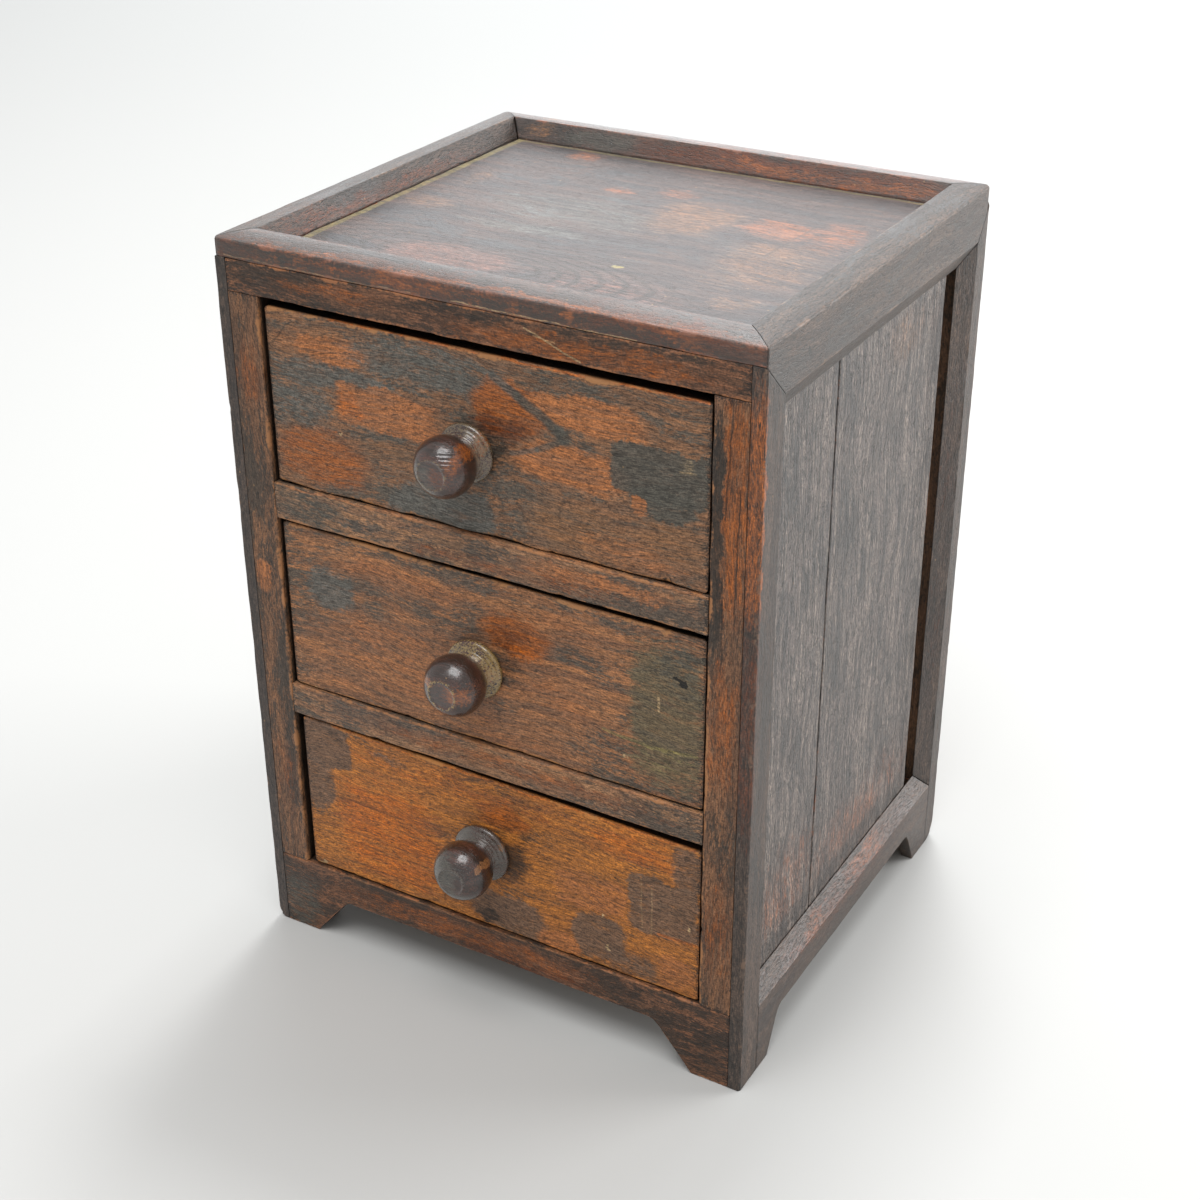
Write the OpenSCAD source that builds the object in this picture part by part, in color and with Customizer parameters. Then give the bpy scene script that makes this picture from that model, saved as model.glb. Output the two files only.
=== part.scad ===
/* [Chest] */
// Width over the side frames
chest_w = 180; // [150:1:240]
// Depth from the front frame's face to the back frame's face
chest_d = 160; // [130:1:220]
// Thickness of the front and back frames, front to back
face_frame_t = 12; // [10:0.5:16]
// Rounding of the crisp upright corners
corner_r = 0.8; // [0.4:0.2:2]
// Rounding of the worn corners of the top frame
worn_corner_r = 2.6; // [0.4:0.2:4]

/* [Top frame] */
// Height of the top frame's outer face
top_face_h = 5.5; // [5:0.1:8]
// Width of the top frame's upper surface
top_frame_w = 9.6; // [8:0.2:14]
// Rise of that surface from its outer edge to its inner edge
top_crown = 1.6; // [1.2:0.1:2.4]
// Run of the sloping wall from the frame's inner edge down to the panel
top_wall_run = 3.4; // [1:0.2:5]
// Depth of the top panel below the frame's inner edge
panel_sink = 6.1; // [4:0.1:6.5]
// Thickness of the top panel
top_panel_t = 5; // [4:0.5:6]
// Depth of the grooves that hold the top panel
top_groove = 4; // [3:0.5:5]
// Open joint between the raised field of the top panel and the frame
field_gap = 0.8; // [0.3:0.1:1.5]

/* [Front frame] */
// Height of each drawer opening
opening_h = 59.5; // [45:0.5:80]
// Height of the rail between the top frame and the upper drawer
top_rail_h = 10.2; // [9:0.1:16]
// Height of the rail below the upper drawer
upper_rail_h = 12.3; // [9:0.1:16]
// Height of the rail below the middle drawer
lower_rail_h = 11.2; // [9:0.1:16]
// Height of the front and back aprons
apron_h = 28.5; // [27:0.5:40]
// Width of the upright stiles beside the drawers
stile_w = 10.8; // [10.2:0.1:16]
// Width of a front foot at the floor, over the side frame's edge
front_foot_w = 17.2; // [12:0.2:26]
// Slope of the front feet's inner edges, floor to arch
front_foot_run = 13.5; // [6:0.5:20]
// Height of the arch in the front and back aprons
front_arch_h = 16.5; // [10:0.5:17.5]

/* [Frame joints] */
// Length of the tenons
tenon_l = 5; // [3:0.5:7]
// Thickness of the tenons, front to back
tenon_t = 4; // [3:0.5:5]
// Shoulder left at each edge of a tenon
tenon_shoulder = 2; // [1:0.5:3]
// Clearance between a tenon and its mortise
tenon_play = 0.1; // [0.05:0.05:0.3]

/* [Side frames] */
// Thickness of the side frames
side_frame_t = 4.4; // [4.2:0.1:7]
// Flat width of the front posts
front_post_w = 11.4; // [8:0.2:14]
// Flat width of the rear posts
rear_post_w = 8; // [7.4:0.2:14]
// Flat height of the side top rails
side_top_h = 16.3; // [12:0.1:24]
// Height of the flat part of the side bottom rails above the floor
side_foot_h = 25.5; // [20:0.5:36]
// Width of the bevel round the inside of the side frames
bevel_run = 7; // [3:0.5:9]
// Depth of that bevel
bevel_depth = 4; // [1:0.1:4.1]
// Width of a side foot at the floor
side_foot_w = 19.3; // [16.5:0.1:30]
// Slope of the side feet's inner edges, floor to arch
side_foot_run = 7.5; // [4:0.5:14]
// Height of the arch in the side bottom rails
side_arch_h = 15; // [10:0.5:18]
// Rounding in the upper corners of the arches
arch_r = 4; // [1:0.5:6]
// Wear on the outer corner of the left front foot
left_foot_r = 4; // [0.5:0.5:4]
// Wear on the outer corners of the rear feet
rear_foot_r = 7; // [0.5:0.5:7]

/* [Side boards] */
// Thickness of the side boards
side_board_t = 10; // [8:0.1:10.1]
// Width of the front board of each side
front_board_w = 44.8; // [30:0.2:70]
// Open joint between the two boards of a side
board_gap = 0.6; // [0.3:0.1:1.2]
// Height of the side boards' lower edge above the floor
board_foot = 17; // [16:0.5:19]
// Gap that shrinkage has opened behind the right rear board
right_shrink = 10; // [0.3:0.1:14]
// Gap behind the left rear board
left_shrink = 0.6; // [0.3:0.1:14]

/* [Back and bottom] */
// Thickness of the back boards
back_board_t = 5; // [4:0.5:6]
// Depth of the back boards below the back frame's face
back_inset = 4; // [2:0.5:5]
// Depth of the grooves that hold the back boards and the bottom board
groove_d = 3; // [2:0.5:4]
// Room left for a board to swell in its groove
board_float = 0.5; // [0.3:0.1:1]
// Height of the bottom board's underside above the floor
bottom_rise = 19; // [18:0.5:21]
// Thickness of the bottom board
bottom_t = 5; // [4:0.5:6]

/* [Drawers] */
// Recess of the drawer fronts behind the front frame
drawer_inset = 1; // [0:0.1:3]
// Gap at the right of each drawer
right_gap = 0.7; // [0.4:0.1:3]
// Gap at the left of the upper drawer
upper_left_gap = 1.5; // [0.4:0.1:3]
// Gap at the left of the middle drawer
middle_left_gap = 1.3; // [0.4:0.1:3]
// Gap at the left of the lower drawer
lower_left_gap = 2.4; // [0.4:0.1:3]
// Gap over the upper drawer at its left end
upper_gap = 2.5; // [0.5:0.1:4]
// Gap over the middle drawer at its left end
middle_gap = 0.9; // [0.5:0.1:4]
// Gap over the lower drawer at its left end
lower_gap = 0.8; // [0.5:0.1:4]
// Fall of the upper front's top edge from left to right
upper_fall = 0.3; // [0:0.1:3]
// Fall of the middle front's top edge
middle_fall = 1.3; // [0:0.1:3]
// Fall of the lower front's top edge
lower_fall = 2.3; // [0:0.1:3]
// Running clearance under the drawers
slide_play = 0.3; // [0.2:0.05:0.5]
// Gap between a closed drawer and the back boards
stop_gap = 0.6; // [0.3:0.1:3]
// Thickness of the drawer fronts
front_t = 9; // [8:0.5:12]
// Thickness of the drawer sides and backs
wall_t = 5; // [4:0.5:7]
// Drop of the drawer sides below the lower end of the front's top edge
side_drop = 2.5; // [1:0.5:8]
// Thickness of the drawer bottoms
drawer_bottom_t = 3; // [2:0.5:4]
// Height of the drawer bottoms above the lower edge
drawer_bottom_rise = 3; // [2:0.5:5]
// Depth of the grooves round the drawer bottoms
drawer_groove = 2.5; // [1.5:0.5:3]
// Clearance round the drawer bottoms in their grooves
bottom_play = 0.1; // [0.05:0.05:0.3]
// Number of dovetails at each corner
tails = 3; // [2:1:4]
// Width of a dovetail at its root
tail_w = 7; // [4:0.5:7]
// Flare of a dovetail on each side
tail_flare = 1.2; // [0.5:0.1:1.5]
// Length of the half-blind dovetails at the front
tail_l = 6; // [4:0.5:7]

/* [Runners] */
// Width of the drawer runners
runner_w = 10; // [8:0.5:16]
// Height of the upper and middle runners
runner_h = 6; // [4:0.5:9]

/* [Knobs] */
// Diameter of the upper knob's collar, against the drawer front
upper_collar_d = 18.2; // [15:0.2:22]
// Diameter of the middle knob's collar
middle_collar_d = 19.6; // [15:0.2:22]
// Diameter of the lower knob's collar
lower_collar_d = 20; // [15:0.2:22]
// Thickness of the collars
collar_t = 2; // [1:0.1:3]
// Diameter of the necks
neck_d = 12.4; // [8:0.2:14]
// Depth of the cove between the collar and the neck
cove = 0.6; // [0:0.1:1]
// Diameter of the upper knob's round head
upper_head_d = 18.4; // [16:0.2:26]
// Diameter of the middle knob's round head
middle_head_d = 19.4; // [16:0.2:26]
// Diameter of the lower knob's round head
lower_head_d = 19.2; // [16:0.2:26]
// Distance from the drawer front to the widest part of the head
head_out = 11.8; // [11:0.1:18]
// Distance from the widest part of the head to its front
head_front = 7.9; // [6:0.1:13]
// Diameter of the tenon through the drawer front
knob_tenon_d = 7; // [5:0.5:9]
// Clearance round that tenon
knob_play = 0.05; // [0.02:0.01:0.1]
// Sideways place of the knobs from the middle of the chest
knob_x = -3.2; // [-10:0.1:10]
// Height of the upper knob below the middle of its opening
upper_knob_drop = 4.1; // [-5:0.1:8]
// Height of the middle knob below the middle of its opening
middle_knob_drop = 3.6; // [-5:0.1:8]
// Height of the lower knob below the middle of its opening
lower_knob_drop = 0.6; // [-5:0.1:8]

/* [Hidden] */
// Levels from the floor up
lower_z = apron_h;
lower_rail_z = lower_z + opening_h;
middle_z = lower_rail_z + lower_rail_h;
upper_rail_z = middle_z + opening_h;
upper_z = upper_rail_z + upper_rail_h;
top_rail_z = upper_z + opening_h;
strip_z = top_rail_z + top_rail_h;
edge_z = strip_z + top_face_h;
top_z = edge_z + top_crown;
panel_z = top_z - panel_sink;
groove_z = panel_z - top_panel_t;
window_top_z = edge_z - side_top_h;

// Planes across the width, on the right-hand side
face_x = chest_w / 2;
skin_x = face_x - side_frame_t;
open_x = skin_x - stile_w;
board_x = skin_x - side_board_t;
bevel_x = face_x - bevel_depth;

// Planes from front to back, with the front frame's face at zero
mitre_w = top_frame_w + top_wall_run;
groove_in = mitre_w - top_groove;
front_window_y = front_post_w + bevel_run;
rear_window_y = chest_d - rear_post_w - bevel_run;
back_frame_y = chest_d - face_frame_t;
tenon_y = (face_frame_t - tenon_t) / 2;
box_front_y = drawer_inset + front_t;
box_end_y = chest_d - back_inset - back_board_t - stop_gap;
box_back_y = box_end_y - wall_t;

// Each drawer: foot of its opening, gap at its left, gap over its left end, fall of its top edge, and its knob's
// drop, collar and head
upper_drawer = [upper_z, upper_left_gap, upper_gap, upper_fall, upper_knob_drop, upper_collar_d, upper_head_d];
middle_drawer = [middle_z, middle_left_gap, middle_gap, middle_fall, middle_knob_drop, middle_collar_d, middle_head_d];
lower_drawer = [lower_z, lower_left_gap, lower_gap, lower_fall, lower_knob_drop, lower_collar_d, lower_head_d];

// Right-hand side of the drawers, and places inside them
drawer_right_x = open_x - right_gap;
bottom_edge = wall_t - drawer_groove;
tail_tip_y = box_front_y - tail_l;

// Middle of the whole depth, knobs included
knob_proud = head_out + head_front - drawer_inset;
front_y = (knob_proud - chest_d) / 2;

// Room over the top panel's tongue in its grooves, and the overshoot of a cutter
panel_play = 0.2;
over = 1;

frame_colour = "#55372b";
panel_colour = "#6b4535";
inner_colour = "#8a6243";
drawer_colour = "#7d452a";
knob_colour = "#3d2a25";

function unit(v) = v / norm(v);

function reversed(path) = [for (i = [len(path) - 1:-1:0]) path[i]];

// Arc of radius r that rounds the corner b of the path a, b, c
function rounded(a, b, c, r, steps = 5) =
    let (
        u = unit(a - b),
        v = unit(c - b),
        half = acos(u * v) / 2,
        centre = b + unit(u + v) * r / sin(half),
        from = b + u * r / tan(half) - centre,
        to = b + v * r / tan(half) - centre,
        start = atan2(from.y, from.x),
        turn = (atan2(to.y, to.x) - start + 540) % 360 - 180
    )
    [for (i = [0:steps]) centre + r * [cos(start + turn * i / steps), sin(start + turn * i / steps)]];

// Cut-out between two feet, from a to b along the floor
function arch(a, b, run, h) = concat(
    [[a, 0]],
    rounded([a, 0], [a + run, h], [b - run, h], arch_r),
    rounded([a + run, h], [b - run, h], [b, 0], arch_r),
    [[b, 0]]
);

// Upper surface of the top frame, as points of distance inwards and height
function crown(steps = 6) =
    [for (i = [0:steps]) [top_frame_w * i / steps, edge_z + top_crown * (1 - pow(1 - i / steps, 2))]];

// Sets the chest's box centrally over the origin
module placed() {
    translate([0, front_y, 0]) children();
}

// The back is the front turned round
module at_back() {
    translate([0, chest_d, 0]) mirror([0, 1, 0]) children();
}

module sided(left) {
    if (left) mirror([1, 0, 0]) children();
    else children();
}

// Extrudes an outline of x and z along y
module along_y(from, to) {
    translate([0, to, 0]) rotate([90, 0, 0]) linear_extrude(to - from) children();
}

// Extrudes an outline of y and z along x
module along_x(from, to) {
    translate([from, 0, 0]) rotate([90, 0, 90]) linear_extrude(to - from) children();
}

module slab(low, high) {
    translate(low) cube(high - low);
}

// The chest's plan, with the right front corner crisp and the other corners of radius r
module plan_prism(r) {
    a = [-face_x, 0];
    b = [face_x, 0];
    c = [face_x, chest_d];
    d = [-face_x, chest_d];
    linear_extrude(top_z + over) polygon(concat(
        rounded(d, a, b, r),
        rounded(a, b, c, corner_r),
        rounded(b, c, d, r),
        rounded(c, d, a, r)
    ));
}

// ---- Top frame ----

module mitred_strip() {
    intersection() {
        along_x(-face_x, face_x) polygon(concat(
            [[0, strip_z]],
            crown(),
            [
                [mitre_w, panel_z],
                [mitre_w, strip_z]
            ]
        ));
        linear_extrude(top_z + over) polygon([
            [-face_x, 0],
            [face_x, 0],
            [face_x - mitre_w, mitre_w],
            [mitre_w - face_x, mitre_w]
        ]);
    }
}

module top_front_rail() {
    color(frame_colour) intersection() {
        mitred_strip();
        plan_prism(worn_corner_r);
    }
}

module top_rear_rail() {
    color(frame_colour) intersection() {
        at_back() mitred_strip();
        plan_prism(worn_corner_r);
    }
}

module side_rail_bar() {
    along_y(0, chest_d) polygon(concat(
        [[face_x, window_top_z]],
        [for (p = crown()) [face_x - p.x, p.y]],
        [
            [face_x - mitre_w, panel_z],
            [face_x - mitre_w, strip_z],
            [face_x - groove_in, strip_z],
            [face_x - groove_in, groove_z],
            [face_x - mitre_w, groove_z],
            [face_x - mitre_w, top_rail_z],
            [skin_x, top_rail_z],
            [skin_x, window_top_z - bevel_run],
            [bevel_x, window_top_z - bevel_run]
        ]
    ));
}

// Room for the strip, the rail under it and the post at one end of a side top rail
module rail_end_cut(post_w) {
    translate([0, 0, strip_z]) linear_extrude(top_z) polygon([
        [face_x, 0],
        [face_x - mitre_w - over, mitre_w + over],
        [face_x - mitre_w - over, -over],
        [face_x, -over]
    ]);
    slab([0, -over, 0], [skin_x, face_frame_t, strip_z]);
    along_x(0, face_x + over) polygon([
        [-over, strip_z],
        [0, strip_z],
        [post_w, window_top_z],
        [post_w + bevel_run, window_top_z - bevel_run],
        [post_w + bevel_run, 0],
        [-over, 0]
    ]);
}

module side_top_rail(left) {
    color(frame_colour) intersection() {
        sided(left) difference() {
            side_rail_bar();
            rail_end_cut(front_post_w);
            at_back() rail_end_cut(rear_post_w);
        }
        plan_prism(worn_corner_r);
    }
}

// Board between the heights low and high, edge inside the chest's four faces
module top_sheet(edge, low, high) {
    slab([edge - face_x, edge, low], [face_x - edge, chest_d - edge, high]);
}

// Field between the sloping walls, with a tongue all round that lies in the grooves
module top_panel() {
    color(panel_colour) {
        top_sheet(mitre_w + field_gap, groove_z, panel_z);
        top_sheet(groove_in + board_float, groove_z, strip_z - panel_play);
    }
}

// ---- Side frames ----

// Wear on a foot's outer corner at a, as an outline across the floor and the upright
module foot_wear(a, inward, r) {
    arc = rounded(a + [inward * 2 * r, 0], a, a + [0, 2 * r], r);
    last = len(arc) - 1;
    polygon(concat(
        [[a.x - inward * over, -over], [arc[0].x, -over]],
        arc,
        [[a.x - inward * over, arc[last].y]]
    ));
}

module left_foot_wear() {
    along_y(-over, side_foot_w + side_foot_run) foot_wear([-face_x, 0], 1, left_foot_r);
}

module rear_foot_wear() {
    along_x(-face_x - over, face_x + over) foot_wear([chest_d, 0], -1, rear_foot_r);
}

// Post with its flat face post_w wide, mitred at the top and where the bevels meet
module post(post_w) {
    intersection() {
        linear_extrude(strip_z) polygon([
            [skin_x, 0],
            [face_x, 0],
            [face_x, post_w],
            [bevel_x, post_w + bevel_run],
            [skin_x, post_w + bevel_run]
        ]);
        along_x(skin_x - over, face_x + over) polygon([
            [0, 0],
            [post_w, 0],
            [post_w, side_foot_h],
            [post_w + bevel_run, side_foot_h + bevel_run],
            [post_w + bevel_run, window_top_z - bevel_run],
            [post_w, window_top_z],
            [0, strip_z]
        ]);
    }
}

module front_post(left) {
    color(frame_colour) difference() {
        intersection() {
            sided(left) post(front_post_w);
            plan_prism(corner_r);
        }
        if (left) left_foot_wear();
    }
}

module rear_post(left) {
    color(frame_colour) difference() {
        intersection() {
            sided(left) at_back() post(rear_post_w);
            plan_prism(corner_r);
        }
        rear_foot_wear();
    }
}

module side_bottom_rail(left) {
    color(frame_colour) difference() {
        sided(left) intersection() {
            along_y(0, chest_d) polygon([
                [skin_x, 0],
                [face_x, 0],
                [face_x, side_foot_h],
                [bevel_x, side_foot_h + bevel_run],
                [skin_x, side_foot_h + bevel_run]
            ]);
            along_x(skin_x - over, face_x + over) polygon(concat(
                [[front_post_w, 0]],
                arch(side_foot_w, chest_d - side_foot_w, side_foot_run, side_arch_h),
                [
                    [chest_d - rear_post_w, 0],
                    [chest_d - rear_post_w, side_foot_h],
                    [rear_window_y, side_foot_h + bevel_run],
                    [front_window_y, side_foot_h + bevel_run],
                    [front_post_w, side_foot_h]
                ]
            ));
        }
        if (left) left_foot_wear();
    }
}

module side_board(left, from, to) {
    color(panel_colour) sided(left) slab([board_x, from, board_foot], [skin_x, to, top_rail_z]);
}

module side_front_board(left) {
    side_board(left, face_frame_t, face_frame_t + front_board_w);
}

module side_rear_board(left) {
    shrink = left ? left_shrink : right_shrink;
    side_board(left, face_frame_t + front_board_w + board_gap, back_frame_y - shrink);
}

// ---- Front and back frames ----

// Tenons between the stiles and a rail that meets them at height z; with play, their mortises
module stile_tenons(z, play) {
    half = stile_w / 2 - tenon_shoulder + play;
    for (middle = [-1, 1] * (open_x + stile_w / 2)) {
        slab(
            [middle - half, tenon_y - play, z - tenon_l - play],
            [middle + half, tenon_y + tenon_t + play, z + tenon_l + play]
        );
    }
}

// Tenons at both ends of a mid rail of height h at height z; with play, their mortises
module rail_tenons(z, h, play) {
    reach = open_x + tenon_l + play;
    slab(
        [-reach, tenon_y - play, z + tenon_shoulder - play],
        [reach, tenon_y + tenon_t + play, z + h - tenon_shoulder + play]
    );
}

// Rail right under the top frame, rabbeted for the top panel
module rabbeted_rail() {
    difference() {
        along_x(-skin_x, skin_x) polygon([
            [0, top_rail_z],
            [face_frame_t, top_rail_z],
            [face_frame_t, groove_z],
            [groove_in, groove_z],
            [groove_in, strip_z],
            [0, strip_z]
        ]);
        stile_tenons(top_rail_z, tenon_play);
    }
}

module tenoned_stile() {
    slab([open_x, 0, apron_h], [skin_x, face_frame_t, top_rail_z]);
    intersection() {
        union() {
            stile_tenons(apron_h, 0);
            stile_tenons(top_rail_z, 0);
        }
        slab([open_x, 0, 0], [skin_x, face_frame_t, strip_z]);
    }
}

// Footed board of the front and the back, grooved for the bottom board
module apron() {
    difference() {
        along_y(0, face_frame_t) polygon(concat(
            [[-skin_x, 0]],
            arch(front_foot_w - face_x, face_x - front_foot_w, front_foot_run, front_arch_h),
            [[skin_x, 0], [skin_x, apron_h], [-skin_x, apron_h]]
        ));
        slab(
            [-board_x, face_frame_t - groove_d, bottom_rise],
            [board_x, face_frame_t + over, bottom_rise + bottom_t]
        );
        stile_tenons(apron_h, tenon_play);
    }
}

// Room for the back boards in the frame around them
module back_groove() {
    reach = open_x + groove_d;
    slab(
        [-reach, back_inset, apron_h - groove_d],
        [reach, back_inset + back_board_t, top_rail_z + groove_d]
    );
}

module front_top_rail() {
    color(frame_colour) rabbeted_rail();
}

module front_stile(left) {
    color(frame_colour) difference() {
        sided(left) tenoned_stile();
        rail_tenons(lower_rail_z, lower_rail_h, tenon_play);
        rail_tenons(upper_rail_z, upper_rail_h, tenon_play);
    }
}

module mid_rail(z, h) {
    color(frame_colour) {
        slab([-open_x, 0, z], [open_x, face_frame_t, z + h]);
        rail_tenons(z, h, 0);
    }
}

module front_apron() {
    color(frame_colour) apron();
}

module back_top_rail() {
    color(frame_colour) at_back() difference() {
        rabbeted_rail();
        back_groove();
    }
}

module back_stile(left) {
    color(frame_colour) at_back() difference() {
        sided(left) tenoned_stile();
        back_groove();
    }
}

module back_apron() {
    color(frame_colour) difference() {
        at_back() difference() {
            apron();
            back_groove();
        }
        rear_foot_wear();
    }
}

module back_board(left) {
    color(inner_colour) at_back() sided(left) slab(
        [board_gap / 2, back_inset, apron_h - groove_d],
        [open_x + groove_d - board_float, back_inset + back_board_t, top_rail_z + groove_d - board_float]
    );
}

module bottom_board() {
    edge = face_frame_t - groove_d;
    color(inner_colour)
        slab([-board_x, edge, bottom_rise], [board_x, chest_d - edge, bottom_rise + bottom_t]);
}

// Bar between the heights z and top that a drawer slides on
module runner(left, z, top) {
    color(inner_colour) sided(left)
        slab([board_x - runner_w, face_frame_t, z], [board_x, back_frame_y, top]);
}

// ---- Drawers: d is one of the three drawers listed above ----

function opening_z(d) = d[0];
function drawer_left_x(d) = d[1] - open_x;
function front_left_z(d) = opening_z(d) + opening_h - d[2];
function front_right_z(d) = front_left_z(d) - d[3];
function box_foot(d) = opening_z(d) + slide_play;
function box_top(d) = front_right_z(d) - side_drop;
function bottom_top(d) = box_foot(d) + drawer_bottom_rise + drawer_bottom_t;
function knob_z(d) = opening_z(d) + opening_h / 2 - d[4];
function collar_d(d) = d[5];
function head_d(d) = d[6];

// Heights of the middles of the dovetails between low and high
function tail_heights(low, high) = [for (i = [0:tails - 1]) low + (high - low) * (i + 0.5) / tails];

// Outline of one dovetail from its root to its tip, drawn out by the lengths before and after
function tail(root, tip, middle, before = 0, after = 0) =
    let (
        length = abs(tip - root),
        along = (tip - root) / length,
        half = tail_w / 2,
        wide = half + tail_flare * (1 + after / length)
    )
    concat(
        before > 0 ? [[root - along * before, middle - half]] : [],
        [
            [root, middle - half],
            [tip + along * after, middle - wide],
            [tip + along * after, middle + wide],
            [root, middle + half]
        ],
        before > 0 ? [[root - along * before, middle + half]] : []
    );

// Sockets for the dovetails of both sides of a drawer
module tail_sockets(d, root, tip, heights, after) {
    left_x = drawer_left_x(d);
    for (middle = heights) {
        outline = tail(root, tip, middle, over, after);
        along_x(left_x - over, left_x + wall_t) polygon(outline);
        along_x(drawer_right_x - wall_t, drawer_right_x + over) polygon(outline);
    }
}

// Room for a drawer bottom in the pieces around it
module bottom_groove(d) {
    slab(
        [
            drawer_left_x(d) + bottom_edge - bottom_play,
            box_front_y - drawer_groove - bottom_play,
            box_foot(d) + drawer_bottom_rise
        ],
        [drawer_right_x - bottom_edge + bottom_play, box_end_y + over, bottom_top(d) + bottom_play]
    );
}

module drawer_front(d) {
    color(drawer_colour) difference() {
        along_y(drawer_inset, box_front_y) polygon([
            [drawer_left_x(d), box_foot(d)],
            [drawer_right_x, box_foot(d)],
            [drawer_right_x, front_right_z(d)],
            [drawer_left_x(d), front_left_z(d)]
        ]);
        tail_sockets(d, box_front_y, tail_tip_y, tail_heights(box_foot(d), box_top(d)), 0);
        bottom_groove(d);
        translate([knob_x, box_front_y + over, knob_z(d)]) rotate([90, 0, 0])
            cylinder(h = front_t + 2 * over, d = knob_tenon_d + 2 * knob_play, $fn = 48);
    }
}

module drawer_side(d, left) {
    x = left ? drawer_left_x(d) : drawer_right_x - wall_t;
    foot = box_foot(d);
    top = box_top(d);
    front_tails = [
        for (middle = tail_heights(foot, top)) each tail(box_front_y, tail_tip_y, middle)
    ];
    back_tails = [
        for (middle = tail_heights(bottom_top(d), top)) each tail(box_back_y, box_end_y, middle)
    ];
    color(inner_colour) difference() {
        along_x(x, x + wall_t) polygon(concat(
            [[box_end_y, foot], [box_front_y, foot]],
            front_tails,
            [[box_front_y, top], [box_back_y, top]],
            reversed(back_tails),
            [[box_back_y, bottom_top(d)], [box_end_y, bottom_top(d)]]
        ));
        bottom_groove(d);
    }
}

module drawer_back(d) {
    color(inner_colour) difference() {
        slab(
            [drawer_left_x(d), box_back_y, bottom_top(d)],
            [drawer_right_x, box_end_y, box_top(d)]
        );
        tail_sockets(d, box_back_y, box_end_y, tail_heights(bottom_top(d), box_top(d)), over);
    }
}

module drawer_bottom(d) {
    color(inner_colour) slab(
        [drawer_left_x(d) + bottom_edge, box_front_y - drawer_groove, box_foot(d) + drawer_bottom_rise],
        [drawer_right_x - bottom_edge, box_end_y, bottom_top(d)]
    );
}

// Turned profile of a drawer's knob: radius, and distance out from the drawer front
function knob_profile(d, steps = 10) =
    let (
        head_r = head_d(d) / 2,
        neck_r = neck_d / 2,
        rim_r = collar_d(d) / 2,
        shelf_r = rim_r - collar_t / 2,
        neck_out = head_out - sqrt(head_r * head_r - neck_r * neck_r),
        neck_angle = asin(neck_r / head_r)
    )
    concat(
        [[0, -front_t], [knob_tenon_d / 2, -front_t], [knob_tenon_d / 2, 0], [rim_r - collar_t / 6, 0]],
        rounded([rim_r, 0], [rim_r, collar_t], [0, collar_t], collar_t / 2),
        [for (i = [1:4]) let (t = i / 4) [
            shelf_r * (1 - t) + neck_r * t - cove * sin(180 * t),
            collar_t * (1 - t) + neck_out * t
        ]],
        [for (i = [1:steps]) let (t = neck_angle + (90 - neck_angle) * i / steps) [
            head_r * sin(t), head_out - head_r * cos(t)
        ]],
        [for (i = [1:steps - 1]) let (t = 90 * i / steps) [
            head_r * pow(cos(t), 0.9), head_out + head_front * sin(t)
        ]],
        [[0, head_out + head_front]]
    );

module drawer_knob(d) {
    color(knob_colour) translate([knob_x, drawer_inset, knob_z(d)]) rotate([90, 0, 0])
        rotate_extrude($fn = 64) polygon(knob_profile(d));
}

placed() top_front_rail();
placed() top_rear_rail();
placed() side_top_rail(left = true);  // left_top_rail
placed() side_top_rail(left = false);  // right_top_rail
placed() top_panel();
placed() front_post(left = true);  // left_front_post
placed() front_post(left = false);  // right_front_post
placed() rear_post(left = true);  // left_rear_post
placed() rear_post(left = false);  // right_rear_post
placed() side_bottom_rail(left = true);  // left_bottom_rail
placed() side_bottom_rail(left = false);  // right_bottom_rail
placed() side_front_board(left = true);  // left_front_board
placed() side_front_board(left = false);  // right_front_board
placed() side_rear_board(left = true);  // left_rear_board
placed() side_rear_board(left = false);  // right_rear_board
placed() front_top_rail();
placed() front_stile(left = true);  // left_stile
placed() front_stile(left = false);  // right_stile
placed() mid_rail(upper_rail_z, upper_rail_h);  // upper_mid_rail
placed() mid_rail(lower_rail_z, lower_rail_h);  // lower_mid_rail
placed() front_apron();
placed() back_top_rail();
placed() back_stile(left = true);  // back_left_stile
placed() back_stile(left = false);  // back_right_stile
placed() back_apron();
placed() back_board(left = true);  // back_left_board
placed() back_board(left = false);  // back_right_board
placed() bottom_board();
placed() runner(true, upper_z - runner_h, upper_z);  // left_upper_runner
placed() runner(true, middle_z - runner_h, middle_z);  // left_middle_runner
placed() runner(true, bottom_rise + bottom_t, lower_z);  // left_lower_runner
placed() runner(false, upper_z - runner_h, upper_z);  // right_upper_runner
placed() runner(false, middle_z - runner_h, middle_z);  // right_middle_runner
placed() runner(false, bottom_rise + bottom_t, lower_z);  // right_lower_runner
placed() drawer_front(upper_drawer);  // upper_drawer_front
placed() drawer_side(upper_drawer, left = true);  // upper_drawer_left_side
placed() drawer_side(upper_drawer, left = false);  // upper_drawer_right_side
placed() drawer_back(upper_drawer);  // upper_drawer_back
placed() drawer_bottom(upper_drawer);  // upper_drawer_bottom
placed() drawer_knob(upper_drawer);  // upper_drawer_knob
placed() drawer_front(middle_drawer);  // middle_drawer_front
placed() drawer_side(middle_drawer, left = true);  // middle_drawer_left_side
placed() drawer_side(middle_drawer, left = false);  // middle_drawer_right_side
placed() drawer_back(middle_drawer);  // middle_drawer_back
placed() drawer_bottom(middle_drawer);  // middle_drawer_bottom
placed() drawer_knob(middle_drawer);  // middle_drawer_knob
placed() drawer_front(lower_drawer);  // lower_drawer_front
placed() drawer_side(lower_drawer, left = true);  // lower_drawer_left_side
placed() drawer_side(lower_drawer, left = false);  // lower_drawer_right_side
placed() drawer_back(lower_drawer);  // lower_drawer_back
placed() drawer_bottom(lower_drawer);  // lower_drawer_bottom
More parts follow.
